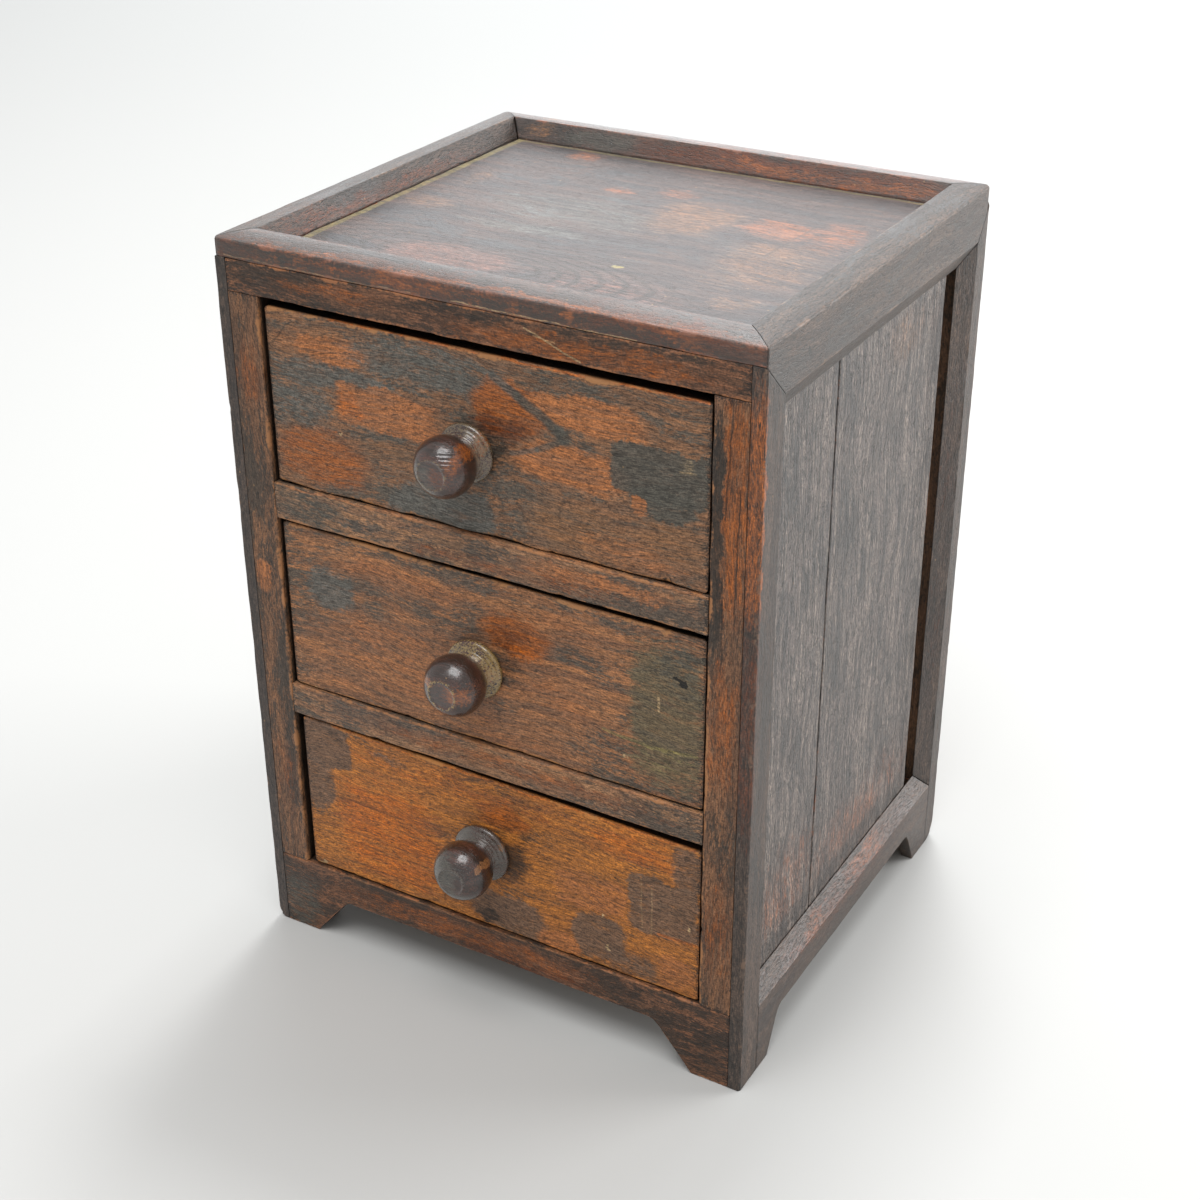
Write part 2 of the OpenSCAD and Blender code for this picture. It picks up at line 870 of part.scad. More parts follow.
placed() drawer_knob(lower_drawer);  // lower_drawer_knob
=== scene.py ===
"""Small dark-stained chest with three drawers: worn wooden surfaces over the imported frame."""
import logging
import math
from dataclasses import dataclass, replace
from enum import Enum
from typing import Callable, Iterable, Sequence

import bpy
import numpy as np
from mathutils import Matrix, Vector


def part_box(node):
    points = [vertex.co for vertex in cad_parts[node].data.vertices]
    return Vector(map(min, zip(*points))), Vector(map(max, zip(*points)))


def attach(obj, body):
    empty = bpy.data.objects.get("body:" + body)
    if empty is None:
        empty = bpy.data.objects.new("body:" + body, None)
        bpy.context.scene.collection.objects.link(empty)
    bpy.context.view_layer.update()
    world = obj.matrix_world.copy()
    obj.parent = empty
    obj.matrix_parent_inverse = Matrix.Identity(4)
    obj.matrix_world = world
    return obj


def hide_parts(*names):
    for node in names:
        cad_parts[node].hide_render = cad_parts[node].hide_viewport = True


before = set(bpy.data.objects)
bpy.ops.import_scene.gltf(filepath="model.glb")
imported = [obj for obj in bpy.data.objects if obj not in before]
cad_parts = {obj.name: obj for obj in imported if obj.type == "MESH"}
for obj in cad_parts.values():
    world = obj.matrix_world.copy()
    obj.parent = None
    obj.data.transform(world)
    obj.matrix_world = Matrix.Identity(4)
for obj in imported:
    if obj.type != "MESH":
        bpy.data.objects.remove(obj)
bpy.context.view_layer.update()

LOG = logging.getLogger("chest")
MM = 0.001
FRONT_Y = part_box("front_apron")[0].y / MM  # the front frame's face in the frame's own y, in mm

Colour = tuple[float, float, float]
Span = tuple[float, float]
Socket = bpy.types.NodeSocket
Tree = bpy.types.NodeTree
Feed = Socket | float | str | Sequence[float]


def span(node: str, axis: str) -> Span:
    """Reads the two ends of a CAD node on an axis, in mm to 0.01, with y from the front frame's face."""
    start = FRONT_Y if axis == "y" else 0.0
    low, high = (round(getattr(corner, axis) / MM - start, 2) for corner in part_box(node))
    return low, high


def paint(code: str) -> Colour:
    """Turns an RRGGBB code into the linear colour that the shaders take."""
    parts = [int(code[i : i + 2], 16) / 255 for i in (0, 2, 4)]
    return tuple(c / 12.92 if c <= 0.04045 else ((c + 0.055) / 1.055) ** 2.4 for c in parts)


# ---------------------------------------------------------------- surfaces

SINES = 6  # sines in each random wave
ARC_POINTS = 6  # points round each arris
SWAY = 0.45  # share by which the rounding of an arris wanders
KNOCKS = 9  # knocks on each arris
RUBBED_R = 0.25  # least rounding in mm of an arris that is rubbed
KNOCKED_R = 0.3  # least rounding in mm of an arris that is knocked
BESIDE = 0.3  # mm of flat in the narrow column beside a rounding
ROOM = 0.42  # largest share of a flat that one rounding may take
ARRIS_REACH = 4.0  # mm from an arris over which its wear fades
JOINT_REACH = 3.0  # mm from a stick's end over which its dirt fades
SHARP = math.radians(42)  # edges that turn more than this are shaded sharp


class Run(Enum):
    """The way a stick of wood runs; the value gives the axes of its length and of its profile."""

    ACROSS = (0, 1, 2)
    BACK = (1, 0, 2)
    UP = (2, 0, 1)

    @property
    def fibres(self) -> list[float]:
        """Gives the direction of the length, which the fibres follow."""
        return [float(axis == self.value[0]) for axis in range(3)]


@dataclass(frozen=True)
class Corner:
    """A corner of a profile: its place there, where the stick starts and ends at it, and its rounding."""

    a: float
    b: float
    start: float
    end: float
    radius: float = 0.0


@dataclass
class Surface:
    """A closed skin on a grid of rows along a piece and columns round it, in mm."""

    points: np.ndarray
    arris: np.ndarray
    joint: np.ndarray


def wander(seed: int, where: np.ndarray, shortest: float, longest: float, tracks: int = 1) -> np.ndarray:
    """Works out smooth random waves.

    Each track is 1.6 times the mean of some sines of the place, with lengths and phases drawn from the seed.

    Args:
        seed: Seed of the draws.
        where: Places along the wave, in mm.
        shortest: Shortest length of a sine, in mm.
        longest: Longest length of a sine, in mm.
        tracks: How many separate waves are made.

    Returns:
        Values between about -1 and 1, one row a place and one column a track.
    """
    draw = np.random.default_rng(seed)
    lengths = draw.uniform(shortest, longest, (SINES, tracks))
    phases = draw.uniform(0, 2 * np.pi, (SINES, tracks))
    return 1.6 * np.sin(2 * np.pi * where[:, None, None] / lengths + phases).mean(1)


def chips(seed: int, where: np.ndarray, tracks: int, count: int) -> np.ndarray:
    """Works out the small knocks along an arris.

    Each knock is a bell curve round a drawn place, between 0.5 and 2 mm wide, with an exponential depth.

    Args:
        seed: Seed of the draws.
        where: Places along the arris, in mm.
        tracks: How many arrises there are.
        count: Knocks on each.

    Returns:
        Extra rounding in mm, one row a place and one column an arris.
    """
    draw = np.random.default_rng(seed + 7)
    middles = draw.uniform(where.min(), where.max(), (count, tracks))
    widths = draw.uniform(0.5, 2.0, (count, tracks))
    depths = draw.exponential(0.32, (count, tracks)).clip(0, 1.2)
    return (depths * np.exp(-(((where[:, None, None] - middles) / widths) ** 2))).sum(1)


def spread(length: float, step: float, hold: float) -> np.ndarray:
    """Splits a flat between two arrises: about one part a step, with a narrow part kept beside each arris."""
    if length < 2.5 * hold:
        return np.empty(0)
    inner = max(1, int(math.ceil((length - 2 * hold) / step)))
    return np.linspace(hold, length - hold, inner + 1) / length


def along_rows(ends: np.ndarray, step: float, ease: float, kinks: Sequence[float]) -> tuple[np.ndarray, ...]:
    """Places the rows of a stick: three close rows round each end over, then 0.5 mm rows, then wider ones.

    Args:
        ends: Start and end of the stick at each corner.
        step: Distance between rows away from the ends.
        ease: Rounding of the ends.
        kinks: Places along the stick that each need a row.

    Returns:
        Share of the length, offset in mm and inset of the profile of each row. Then the ends' and kinks' shares.
    """
    start, length = ends[:, 0].mean(), (ends[:, 1] - ends[:, 0]).mean()
    edge = min(4.0, length / 4)
    near = np.arange(ease + 0.4, edge, 0.5)
    far = np.linspace(edge, length - edge, max(2, int((length - 2 * edge) / step)))
    middle = np.concatenate([near, far, length - near[::-1]]) / length
    stops = np.array([0.0, *[(k - start) / length for k in kinks], 1.0])
    if kinks:
        middle = np.unique(np.concatenate([middle, stops[1:-1]]).round(6))
    turn = np.array([0.0, 0.35, 1.0])
    level = np.zeros(len(middle))
    share = np.concatenate([np.zeros(3), middle, np.ones(3)])
    offset = np.concatenate([ease * turn, level, -ease * turn[::-1]])
    inset = np.concatenate([ease * (1 - turn) ** 2, level, (ease * (1 - turn) ** 2)[::-1]])
    return share, offset, inset, stops


def arc(back: np.ndarray, ahead: np.ndarray, half: float) -> np.ndarray:
    """Works out the arc of radius one that rounds a corner.

    Args:
        back: Unit direction to the corner before.
        ahead: Unit direction to the corner after.
        half: Half the angle between the two.

    Returns:
        Its points, from the corner.
    """
    centre = (back + ahead) / np.linalg.norm(back + ahead) / math.sin(half)
    first = back / math.tan(half) - centre
    last = ahead / math.tan(half) - centre
    angle = math.acos(float((first * last).sum()))
    t = np.linspace(0, 1, ARC_POINTS)[:, None]
    return centre + (np.sin((1 - t) * angle) * first + np.sin(t * angle) * last) / math.sin(angle)


def outwards(ring: np.ndarray, turn: float) -> np.ndarray:
    """Works out the outward direction at each point of a closed profile, longer where it bends.

    Args:
        ring: Points of the profile, in order.
        turn: 1 where the order is anticlockwise, else -1.

    Returns:
        One direction a point.
    """
    ahead, behind = np.roll(ring, -1, 0) - ring, ring - np.roll(ring, 1, 0)
    ahead /= np.linalg.norm(ahead, axis=1)[:, None] + 1e-9
    behind /= np.linalg.norm(behind, axis=1)[:, None] + 1e-9
    way = np.stack([ahead[:, 1] + behind[:, 1], -ahead[:, 0] - behind[:, 0]], -1) * turn
    return way / (1 + (ahead * behind).sum(1)).clip(0.5)[:, None]


def nearness(girth: np.ndarray, total: float, chosen: np.ndarray) -> np.ndarray:
    """Works out how near each column is to an arris.

    Args:
        girth: Place of each column round the profile, in mm.
        total: Whole way round the profile.
        chosen: Which columns are on an arris.

    Returns:
        1 on an arris, falling to 0 where its wear ends.
    """
    if not chosen.any():
        return np.zeros(len(girth))
    gap = np.abs(girth[:, None] - girth[chosen])
    return (1 - np.minimum(gap, total - gap).min(1) / ARRIS_REACH).clip(0, 1)


class Profile:
    """A closed profile of a stick, with what each corner needs for its rounding and its mitre."""

    def __init__(self, corners: Sequence[Corner]) -> None:
        """Works out both flats of each corner, half the angle between them and how the ends slope there."""
        self.p = p = np.array([(c.a, c.b) for c in corners])
        self.ends = ends = np.array([(c.start, c.end) for c in corners])
        self.base = np.array([c.radius for c in corners])
        u, v = np.roll(p, 1, 0) - p, np.roll(p, -1, 0) - p
        self.lu, self.lv = np.linalg.norm(u, axis=1), np.linalg.norm(v, axis=1)
        steps = np.stack([np.roll(ends, 1, 0) - ends, np.roll(ends, -1, 0) - ends], 1)
        self.slope = np.linalg.pinv(np.stack([u, v], 1)) @ steps
        self.u, self.v = u, v = u / self.lu[:, None], v / self.lv[:, None]
        self.half = np.arccos((u * v).sum(1).clip(-0.9999, 0.9999)) / 2
        self.area = (p[:, 0] * np.roll(p[:, 1], -1) - p[:, 1] * np.roll(p[:, 0], -1)).sum()
        self.convex = (u[:, 1] * v[:, 0] - u[:, 0] * v[:, 1]) * self.area > 0

    def radii(self, seed: int, where: np.ndarray, worn: float) -> np.ndarray:
        """Lets the rounding of each corner wander and be knocked along the stick.

        Args:
            seed: Seed of the wear.
            where: Places of the rows along the stick.
            worn: Strength of the wear.

        Returns:
            Radius in mm, one row a place and one column a corner.
        """
        count = len(self.base)
        radius = self.base * (1 + SWAY * worn * wander(seed, where, 8, 50, count))
        knocks = chips(seed, where, count, KNOCKS) * self.base.clip(0, 1)
        radius += worn * np.where(self.base > KNOCKED_R, knocks, 0)
        return radius.clip(0, ROOM * np.minimum(self.lu, self.lv) * np.tan(self.half)) * (self.base > 0)

    def columns(self, radius: np.ndarray, step: float) -> tuple[np.ndarray, ...]:
        """Sets the columns: the points of each rounded corner, then those of the flat after it.

        Args:
            radius: Radius of each corner at each row.
            step: Distance between the columns of a flat.

        Returns:
            Places in the profile, and shifts of both ends, at each row and column. Then, for each column, how
            far round it is, counted in corners, and whether it is on a rubbed arris.
        """
        places, shifts, onward, on_arris = [], [], [], []
        base, count = self.base, len(self.base)
        for i in range(count):
            j = (i + 1) % count
            arcs = [arc(self.u[k], self.v[k], self.half[k]) if base[k] else np.zeros((1, 2)) for k in (i, j)]
            reach = radius[:, i, None, None] * arcs[0]
            places.append(self.p[i] + reach)
            shifts.append(reach @ self.slope[i])
            onward.append(np.full(len(arcs[0]), float(i)))
            on_arris.append(np.full(len(arcs[0]), bool(base[i] > RUBBED_R and self.convex[i])))
            rounded, length = base[i] > 0 or base[j] > 0, self.lv[i]
            plain = np.linspace(0, 1, max(2, int(length / step) + 1))[1:-1]
            f = spread(length, step, BESIDE) if rounded else plain
            if len(f):
                flat = ((places, self.p[j] + radius[:, j, None] * arcs[1][0]),
                        (shifts, radius[:, j, None] * (arcs[1][0] @ self.slope[j])))
                for items, last in flat:
                    items.append(items[-1][:, -1][:, None] * (1 - f[:, None]) + last[:, None] * f[:, None])
                onward.append(i + f)
                on_arris.append(np.zeros(len(f), bool))
        rows = (np.concatenate(items, 1) for items in (places, shifts))
        return *rows, np.concatenate(onward), np.concatenate(on_arris)


def carry(run: Run, corners: Sequence[Corner], seed: int, worn: float = 1.0, ripple: float = 0.08,
          ease: float = 0.22, step: float = 1.3, kinks: Sequence[float] = ()) -> Surface:
    """Carries a profile with rounded arrises along a straight stick of wood.

    A point of an arris is its corner plus the radius there times a fixed arc of radius one, and the radius
    wanders and is chipped along the stick. A point of a flat lies between the ends of two arcs. Its place
    along the stick goes evenly from the start to the end that the plane through its corners gives, so ends
    can be mitred. Last, the skin sinks by a shallow ripple against its outward direction.

    Args:
        run: Way the stick runs.
        corners: Profile, in order round the stick.
        seed: Seed of wear and ripple.
        worn: Strength of the wear of the arrises.
        ripple: Depth of the ripple in mm.
        ease: Rounding of both ends in mm.
        step: Distance between rows and columns in mm.
        kinks: Places along the stick that each need a row.

    Returns:
        The skin of the stick.
    """
    shape, count = Profile(corners), len(corners)
    ends = shape.ends
    share, offset, inset, stops = along_rows(ends, step, ease, kinks)
    where = ends[:, 0].mean() + share * (ends[:, 1] - ends[:, 0]).mean()
    profile, shifts, onward, on_arris = shape.columns(shape.radii(seed, where, worn), step)

    segment = np.searchsorted(stops, share, side="right").clip(1, len(stops) - 1) - 1
    part = ((share - stops[segment]) / (stops[segment + 1] - stops[segment]))[:, None]
    knots = np.concatenate([ends[:, :1], np.tile(kinks, (count, 1)), ends[:, 1:]], 1)
    ring = np.append(knots, knots[:1], 0)
    at = np.stack([np.interp(onward, np.arange(count + 1), knot) for knot in ring.T], -1)
    along = at[:, segment].T * (1 - part) + at[:, segment + 1].T * part + offset[:, None]
    along += shifts[..., 0] * (segment == 0)[:, None] * (1 - part)
    along += shifts[..., 1] * (segment == len(stops) - 2)[:, None] * part

    middle = profile[len(profile) // 2]
    girth = np.concatenate([[0], np.linalg.norm(np.diff(middle, axis=0), axis=1)]).cumsum()
    total = girth[-1] + float(np.linalg.norm(middle[0] - middle[-1]))
    sink = ripple * (1.0 + wander(seed + 3, where, 14, 70)) / 2
    sink = sink + 0.5 * ripple * (1.0 + wander(seed + 4, girth, 4, 18).T * wander(seed + 5, where, 9, 40))
    profile = profile - (sink.clip(0) + inset[:, None])[..., None] * outwards(middle, np.sign(shape.area))

    arris = np.tile(nearness(girth, total, on_arris), (len(share), 1))
    joint = (1 - np.minimum(along - at[:, 0], at[:, -1] - along) / JOINT_REACH).clip(0, 1)
    points = np.empty(profile.shape[:2] + (3,))
    for axis, values in zip(run.value, (along, profile[..., 0], profile[..., 1])):
        points[..., axis] = values
    return Surface(points, arris, joint)


def block(a: Span, b: Span, s: Span, radii: Sequence[float]) -> list[Corner]:
    """Lists the corners of a squared stick.

    Args:
        a: Extent along the profile's first axis.
        b: Extent along its second axis.
        s: Start and end of the stick.
        radii: Rounding at (a0, b0), (a1, b0), (a1, b1) and (a0, b1).

    Returns:
        The four corners in order.
    """
    places = ((a[0], b[0]), (a[1], b[0]), (a[1], b[1]), (a[0], b[1]))
    return [Corner(x, y, s[0], s[1], r) for (x, y), r in zip(places, radii)]


def round_off(points: np.ndarray, first: tuple[int, float, int], second: tuple[int, float, int],
              radius: float) -> None:
    """Rounds a square corner of a skin, in place.

    A point that lies less than the radius under both faces is drawn in along the line to the arc's centre, so
    that each square round that centre becomes a quarter circle.

    Args:
        points: Places in mm, changed in place.
        first: Axis, place and outward sign of one face.
        second: The same of the other face.
        radius: Radius of the rounding.
    """
    depth = [radius - (face - points[..., axis]) * sign for axis, face, sign in (first, second)]
    inside = (depth[0] > 0) & (depth[1] > 0)
    size = np.hypot(depth[0], depth[1])
    scale = np.where(inside, np.maximum(depth[0], depth[1]) / np.where(size > 0, size, 1), 1)
    for (axis, face, sign), d in zip((first, second), depth):
        points[..., axis] = np.where(inside, face - sign * (radius - d * scale), points[..., axis])


def arch_height(where: np.ndarray, start: float, end: float, run: float, height: float,
                bend: float) -> np.ndarray:
    """Works out the height of a low arch between two slanted feet.

    It rises evenly over the run at each foot, is level between, and a smooth bend takes up the upper corners.

    Args:
        where: Places along the arch.
        start: Toe of the first foot.
        end: Toe of the second foot.
        run: Length of the slope.
        height: Height of the level part.
        bend: Length over which a corner is bent.

    Returns:
        Heights above the floor.
    """
    rise = np.minimum(where - start, end - where) * height / run
    over = (rise - height + bend * height / run) / (2 * bend * height / run)
    soft = rise - bend * height / run * over.clip(0, 1) ** 2
    return np.where(over >= 1, height, soft).clip(0, height)


def lift(points: np.ndarray, axis: int, low: Callable[[np.ndarray], np.ndarray], top: float) -> None:
    """Lifts a skin's underside to an arch: heights from 0 to top are squeezed between the arch and top."""
    foot = low(points[..., axis])
    z = points[..., 2]
    points[..., 2] = np.where(z < top, foot + z * (top - foot) / top, z)


def flip(surface: Surface, axis: int, total: float) -> Surface:
    """Mirrors a skin: each place on the axis becomes the total less that place."""
    surface.points[..., axis] = total - surface.points[..., axis]
    return surface


def stand(name: str, data: bpy.types.ID) -> bpy.types.Object:
    """Makes an object of some data, at the origin of the scene."""
    item = bpy.data.objects.new(name, data)
    bpy.context.collection.objects.link(item)
    return item


def skin(name: str, surface: Surface) -> bpy.types.Object:
    """Makes the object of a skin, closed round its columns and capped at both ends.

    Its faces are turned outwards by the sign of the volume that they enclose.

    Args:
        name: Name of the piece.
        surface: The skin in mm, with y from the front frame's face.

    Returns:
        The object, at the origin, in metres.
    """
    rows, columns = surface.points.shape[:2]
    places = (surface.points.reshape(-1, 3) + (0, FRONT_Y, 0)) * MM
    row, column = np.meshgrid(np.arange(rows - 1), np.arange(columns), indexing="ij")
    after = (column + 1) % columns
    quads = np.stack([row * columns + column, row * columns + after,
                      (row + 1) * columns + after, (row + 1) * columns + column], -1).reshape(-1, 4)
    caps = [np.arange(columns)[::-1], np.arange(columns) + (rows - 1) * columns]
    fans = [np.stack([np.full(columns - 2, c[0]), c[1:-1], c[2:]], -1) for c in caps]
    triangles = np.concatenate([quads[:, :3], quads[:, [0, 2, 3]], *fans])
    x, y, z = (places[triangles[:, k]] for k in range(3))
    volume = np.einsum("ij,ij->i", x, np.cross(y, z)).sum()
    faces = quads.tolist() + [c.tolist() for c in caps]
    if volume <= 0:
        faces = [f[::-1] for f in faces]
    mesh = bpy.data.meshes.new(name)
    mesh.from_pydata(places.tolist(), [], faces)
    for label, values in (("arris", surface.arris), ("joint", surface.joint)):
        field = mesh.attributes.new(label, "FLOAT", "POINT")
        field.data.foreach_set("value", values.ravel().astype(np.float32))
    mesh.set_sharp_from_angle(angle=SHARP)
    return stand(name, mesh)


# ---------------------------------------------------------------- shader nodes

VECTOR, FLOAT = "NodeSocketVector", "NodeSocketFloat"


class Net:
    """Short words for one tree of shader nodes."""

    def __init__(self, tree: Tree) -> None:
        """Keeps the tree that the nodes go into."""
        self.tree = tree

    def add(self, kind: str, **settings: object) -> bpy.types.Node:
        """Adds a node of the kind and sets its own properties."""
        node = self.tree.nodes.new("ShaderNode" + kind)
        for key, value in settings.items():
            setattr(node, key, value)
        return node

    def feed(self, socket: Socket, value: Feed) -> None:
        """Links a socket to a source, or sets its value; a colour may be an RRGGBB code."""
        if isinstance(value, Socket):
            self.tree.links.new(value, socket)
            return
        if isinstance(value, str):
            value = paint(value)
        socket.default_value = (*value, 1.0) if socket.type == "RGBA" and len(value) == 3 else value

    def fill(self, node: bpy.types.Node, **values: Feed) -> bpy.types.Node:
        """Feeds a node's inputs by name; an underscore in a name stands for a space."""
        for label, value in values.items():
            self.feed(node.inputs[label.replace("_", " ")], value)
        return node

    def calc(self, operation: str, *values: Feed) -> Socket:
        """Adds a Math node on the values."""
        node = self.add("Math", operation=operation)
        for socket, value in zip(node.inputs, values):
            self.feed(socket, value)
        return node.outputs[0]

    def plus(self, first: Feed, second: Feed) -> Socket:
        """Adds two values."""
        return self.calc("ADD", first, second)

    def less(self, first: Feed, second: Feed) -> Socket:
        """Takes the second value from the first."""
        return self.calc("SUBTRACT", first, second)

    def times(self, first: Feed, second: Feed) -> Socket:
        """Multiplies two values."""
        return self.calc("MULTIPLY", first, second)

    def vector(self, operation: str, *values: Feed) -> Socket:
        """Adds a Vector Math node on the values; a Scale takes its factor last."""
        node = self.add("VectorMath", operation=operation)
        self.feed(node.inputs[0], values[0])
        if len(values) > 1:
            self.feed(node.inputs["Scale"] if operation == "SCALE" else node.inputs[1], values[1])
        return node.outputs["Value"] if operation in ("LENGTH", "DOT_PRODUCT") else node.outputs["Vector"]

    def away(self, place: Feed, centre: Feed, pitch: Feed) -> Socket:
        """Works out the way from a centre to a place, times a pitch on each axis."""
        return self.vector("MULTIPLY", self.vector("SUBTRACT", place, centre), pitch)

    def ease(self, value: Feed, low: Feed, high: Feed) -> Socket:
        """Goes smoothly from 0 where the value is low to 1 where it is high."""
        node = self.add("MapRange", interpolation_type="SMOOTHSTEP")
        return self.fill(node, Value=value, From_Min=low, From_Max=high).outputs["Result"]

    def mix(self, factor: Feed, under: Feed, over: Feed, blend: str = "MIX") -> Socket:
        """Lays one colour over another."""
        node = self.add("Mix", data_type="RGBA", blend_type=blend)
        self.feed(node.inputs["Factor"], factor)
        for label, colour in (("A", under), ("B", over)):
            self.feed(next(s for s in node.inputs if s.name == label and s.type == "RGBA"), colour)
        return next(s for s in node.outputs if s.type == "RGBA")

    def layers(self, under: Feed, *layers: tuple[Feed, float, Feed]) -> Feed:
        """Lays colours over one another, each with its cover, its strength and its tone."""
        for cover, strength, tone in layers:
            under = self.mix(self.times(cover, strength), under, tone)
        return under

    def noise(self, place: Feed, scale: Feed = 1.0, detail: float = 2.0, rough: float = 0.5,
              colour: bool = False) -> Socket:
        """Adds a noise on a place; with colour, three separate noises as one."""
        node = self.add("TexNoise", noise_dimensions="3D")
        self.fill(node, Vector=place, Scale=scale, Detail=detail, Roughness=rough)
        return node.outputs["Color" if colour else "Fac"]

    def use(self, group: Tree, **values: Feed) -> bpy.types.Node:
        """Places a node group with its own values."""
        return self.fill(self.add("Group", node_tree=group), **values)


class Workshop:
    """The node groups that the finishes share, each built once."""

    def __init__(self) -> None:
        """Builds the groups."""
        self.grain = self._grain()
        self.patch = self._patch()
        self.ragged = self._ragged()
        self.edge = self._edge()
        self.stroke = self._stroke()
        self.rings = self._rings()

    @staticmethod
    def _open(name: str, takes: dict[str, str],
              gives: dict[str, str] | None = None) -> tuple[Net, dict, dict]:
        """Opens a new group.

        Args:
            name: Name of the group.
            takes: Kind of each input.
            gives: Kind of each output; a mask when left out.

        Returns:
            Its net, its input sockets and the sockets that its outputs are fed through.
        """
        tree = bpy.data.node_groups.new(name, "ShaderNodeTree")
        for direction, sockets in (("INPUT", takes), ("OUTPUT", gives or {"Mask": FLOAT})):
            for label, kind in sockets.items():
                tree.interface.new_socket(name=label, in_out=direction, socket_type=kind)
        inside = tree.nodes.new("NodeGroupInput")
        outside = tree.nodes.new("NodeGroupOutput")
        return Net(tree), {s.name: s for s in inside.outputs}, {s.name: s for s in outside.inputs}

    def _grain(self) -> Tree:
        """Builds the figure of the wood: noises drawn out along the fibres, on a place that wanders."""
        fields = ("Streak", "Band", "Fibre", "Grit", "Pore", "Cloud", "Break", "Fleck", "Speck")
        net, take, give = self._open("grain", {"Place": VECTOR, "Along": VECTOR, "Seed": FLOAT},
                                     dict.fromkeys(fields, FLOAT))
        shift = net.vector("SCALE", (7.31, 13.7, 3.97), take["Seed"])
        place = net.vector("ADD", take["Place"], shift)
        bend = net.vector("SUBTRACT", net.noise(place, 0.022, 1.0, colour=True), (0.5, 0.5, 0.5))
        place = net.vector("ADD", place, net.vector("SCALE", bend, 9.0))

        def drawn(along: float, across: float, detail: float, rough: float, by: float) -> Socket:
            """Makes a noise with its own pitch along and across the fibres, per mm, on a shifted place."""
            pitch = net.vector("ADD", net.vector("SCALE", take["Along"], along - across), (across,) * 3)
            at = net.vector("MULTIPLY", net.vector("ADD", place, (by,) * 3), pitch)
            return net.noise(at, 1.0, detail, rough)

        for name, *noise, low, high in (
            ("Streak", 0.015, 0.3, 4.0, 0.55, 0, 0.36, 0.64),
            ("Band", 0.04, 0.9, 3.0, 0.55, 40, 0.42, 0.66),
            ("Fibre", 0.35, 2.6, 4.0, 0.7, 0, 0.32, 0.68),
            ("Pore", 0.28, 2.9, 2.0, 0.5, 11, 0.58, 0.68),
            ("Fleck", 0.55, 1.6, 2.0, 0.6, 5, 0.57, 0.65),
        ):
            net.feed(give[name], net.ease(drawn(*noise), low, high))
        net.feed(give["Grit"], net.ease(net.noise(place, 1.7, 2.0, 0.8), 0.3, 0.7))
        sizes = ((0.03, 0.09, 23, 1.8), (0.06, 0.3, 31, 1.1), (0.22, 1.0, 37, 1.3), (0.9, 2.2, 43, 1.0))
        cloud, *parts = (net.times(net.less(drawn(along, across, 3.0, 0.6, by), 0.5), weight)
                         for along, across, by, weight in sizes)
        net.feed(give["Cloud"], cloud)
        net.feed(give["Break"], net.plus(parts[0], net.plus(parts[1], parts[2])))
        cells = net.fill(net.add("TexVoronoi", feature="F1"), Vector=place, Scale=0.2)
        lot = net.calc("FRACT", net.times(net.vector("LENGTH", cells.outputs["Color"]), 7.7))
        dot = net.less(1.0, net.ease(cells.outputs["Distance"], 0.03, 0.085))
        net.feed(give["Speck"], net.times(dot, net.calc("GREATER_THAN", lot, 0.62)))
        return net.tree

    def _ragged(self) -> Tree:
        """Builds a place that is shaken by two noises, so that what is drawn on it gets a ragged outline."""
        takes = {"Place": VECTOR, "Wide": FLOAT, "Fine": FLOAT}
        net, take, give = self._open("ragged", takes, {"Place": VECTOR})
        total = take["Place"]
        for scale, name in ((0.13, "Wide"), (0.7, "Fine")):
            noise = net.noise(take["Place"], scale, 2.0, colour=True)
            shake = net.vector("SUBTRACT", noise, (0.5, 0.5, 0.5))
            total = net.vector("ADD", total, net.vector("SCALE", shake, take[name]))
        net.feed(give["Place"], total)
        return net.tree

    def _patch(self) -> Tree:
        """Builds the mask of a patch from the distance to its centre in half sizes, round or square."""
        net, take, give = self._open(
            "patch", {"Place": VECTOR, "Centre": VECTOR, "Pitch": VECTOR, "Square": FLOAT, "Edge": FLOAT})
        away = net.away(take["Place"], take["Centre"], take["Pitch"])
        parts = net.fill(net.add("SeparateXYZ"), Vector=net.vector("ABSOLUTE", away))
        box = net.calc("MAXIMUM", net.calc("MAXIMUM", parts.outputs[0], parts.outputs[1]), parts.outputs[2])
        blend = net.add("Mix", data_type="FLOAT")
        for socket, value in zip([s for s in blend.inputs if s.type == "VALUE"],
                                 (take["Square"], net.vector("LENGTH", away), box)):
            net.feed(socket, value)
        inner, outer = net.less(1.0, take["Edge"]), net.plus(1.0, take["Edge"])
        net.feed(give["Mask"], net.less(1.0, net.ease(blend.outputs[0], inner, outer)))
        return net.tree

    def _edge(self) -> Tree:
        """Builds the rubbed arris: nearness to it, broken up by a coarse and a fine noise."""
        net, take, give = self._open("rubbed edge", {"Arris": FLOAT, "Place": VECTOR, "Amount": FLOAT})
        coarse = net.less(net.noise(take["Place"], 0.11, 2.0), 0.5)
        fine = net.less(net.noise(take["Place"], 0.8, 2.0), 0.5)
        shake = net.plus(net.times(coarse, 0.7), net.times(fine, 0.4))
        reach = net.plus(take["Arris"], shake)
        level = net.less(1.1, net.times(take["Amount"], 0.18))
        net.feed(give["Mask"], net.ease(reach, net.less(level, 0.05), net.plus(level, 0.09)))
        return net.tree

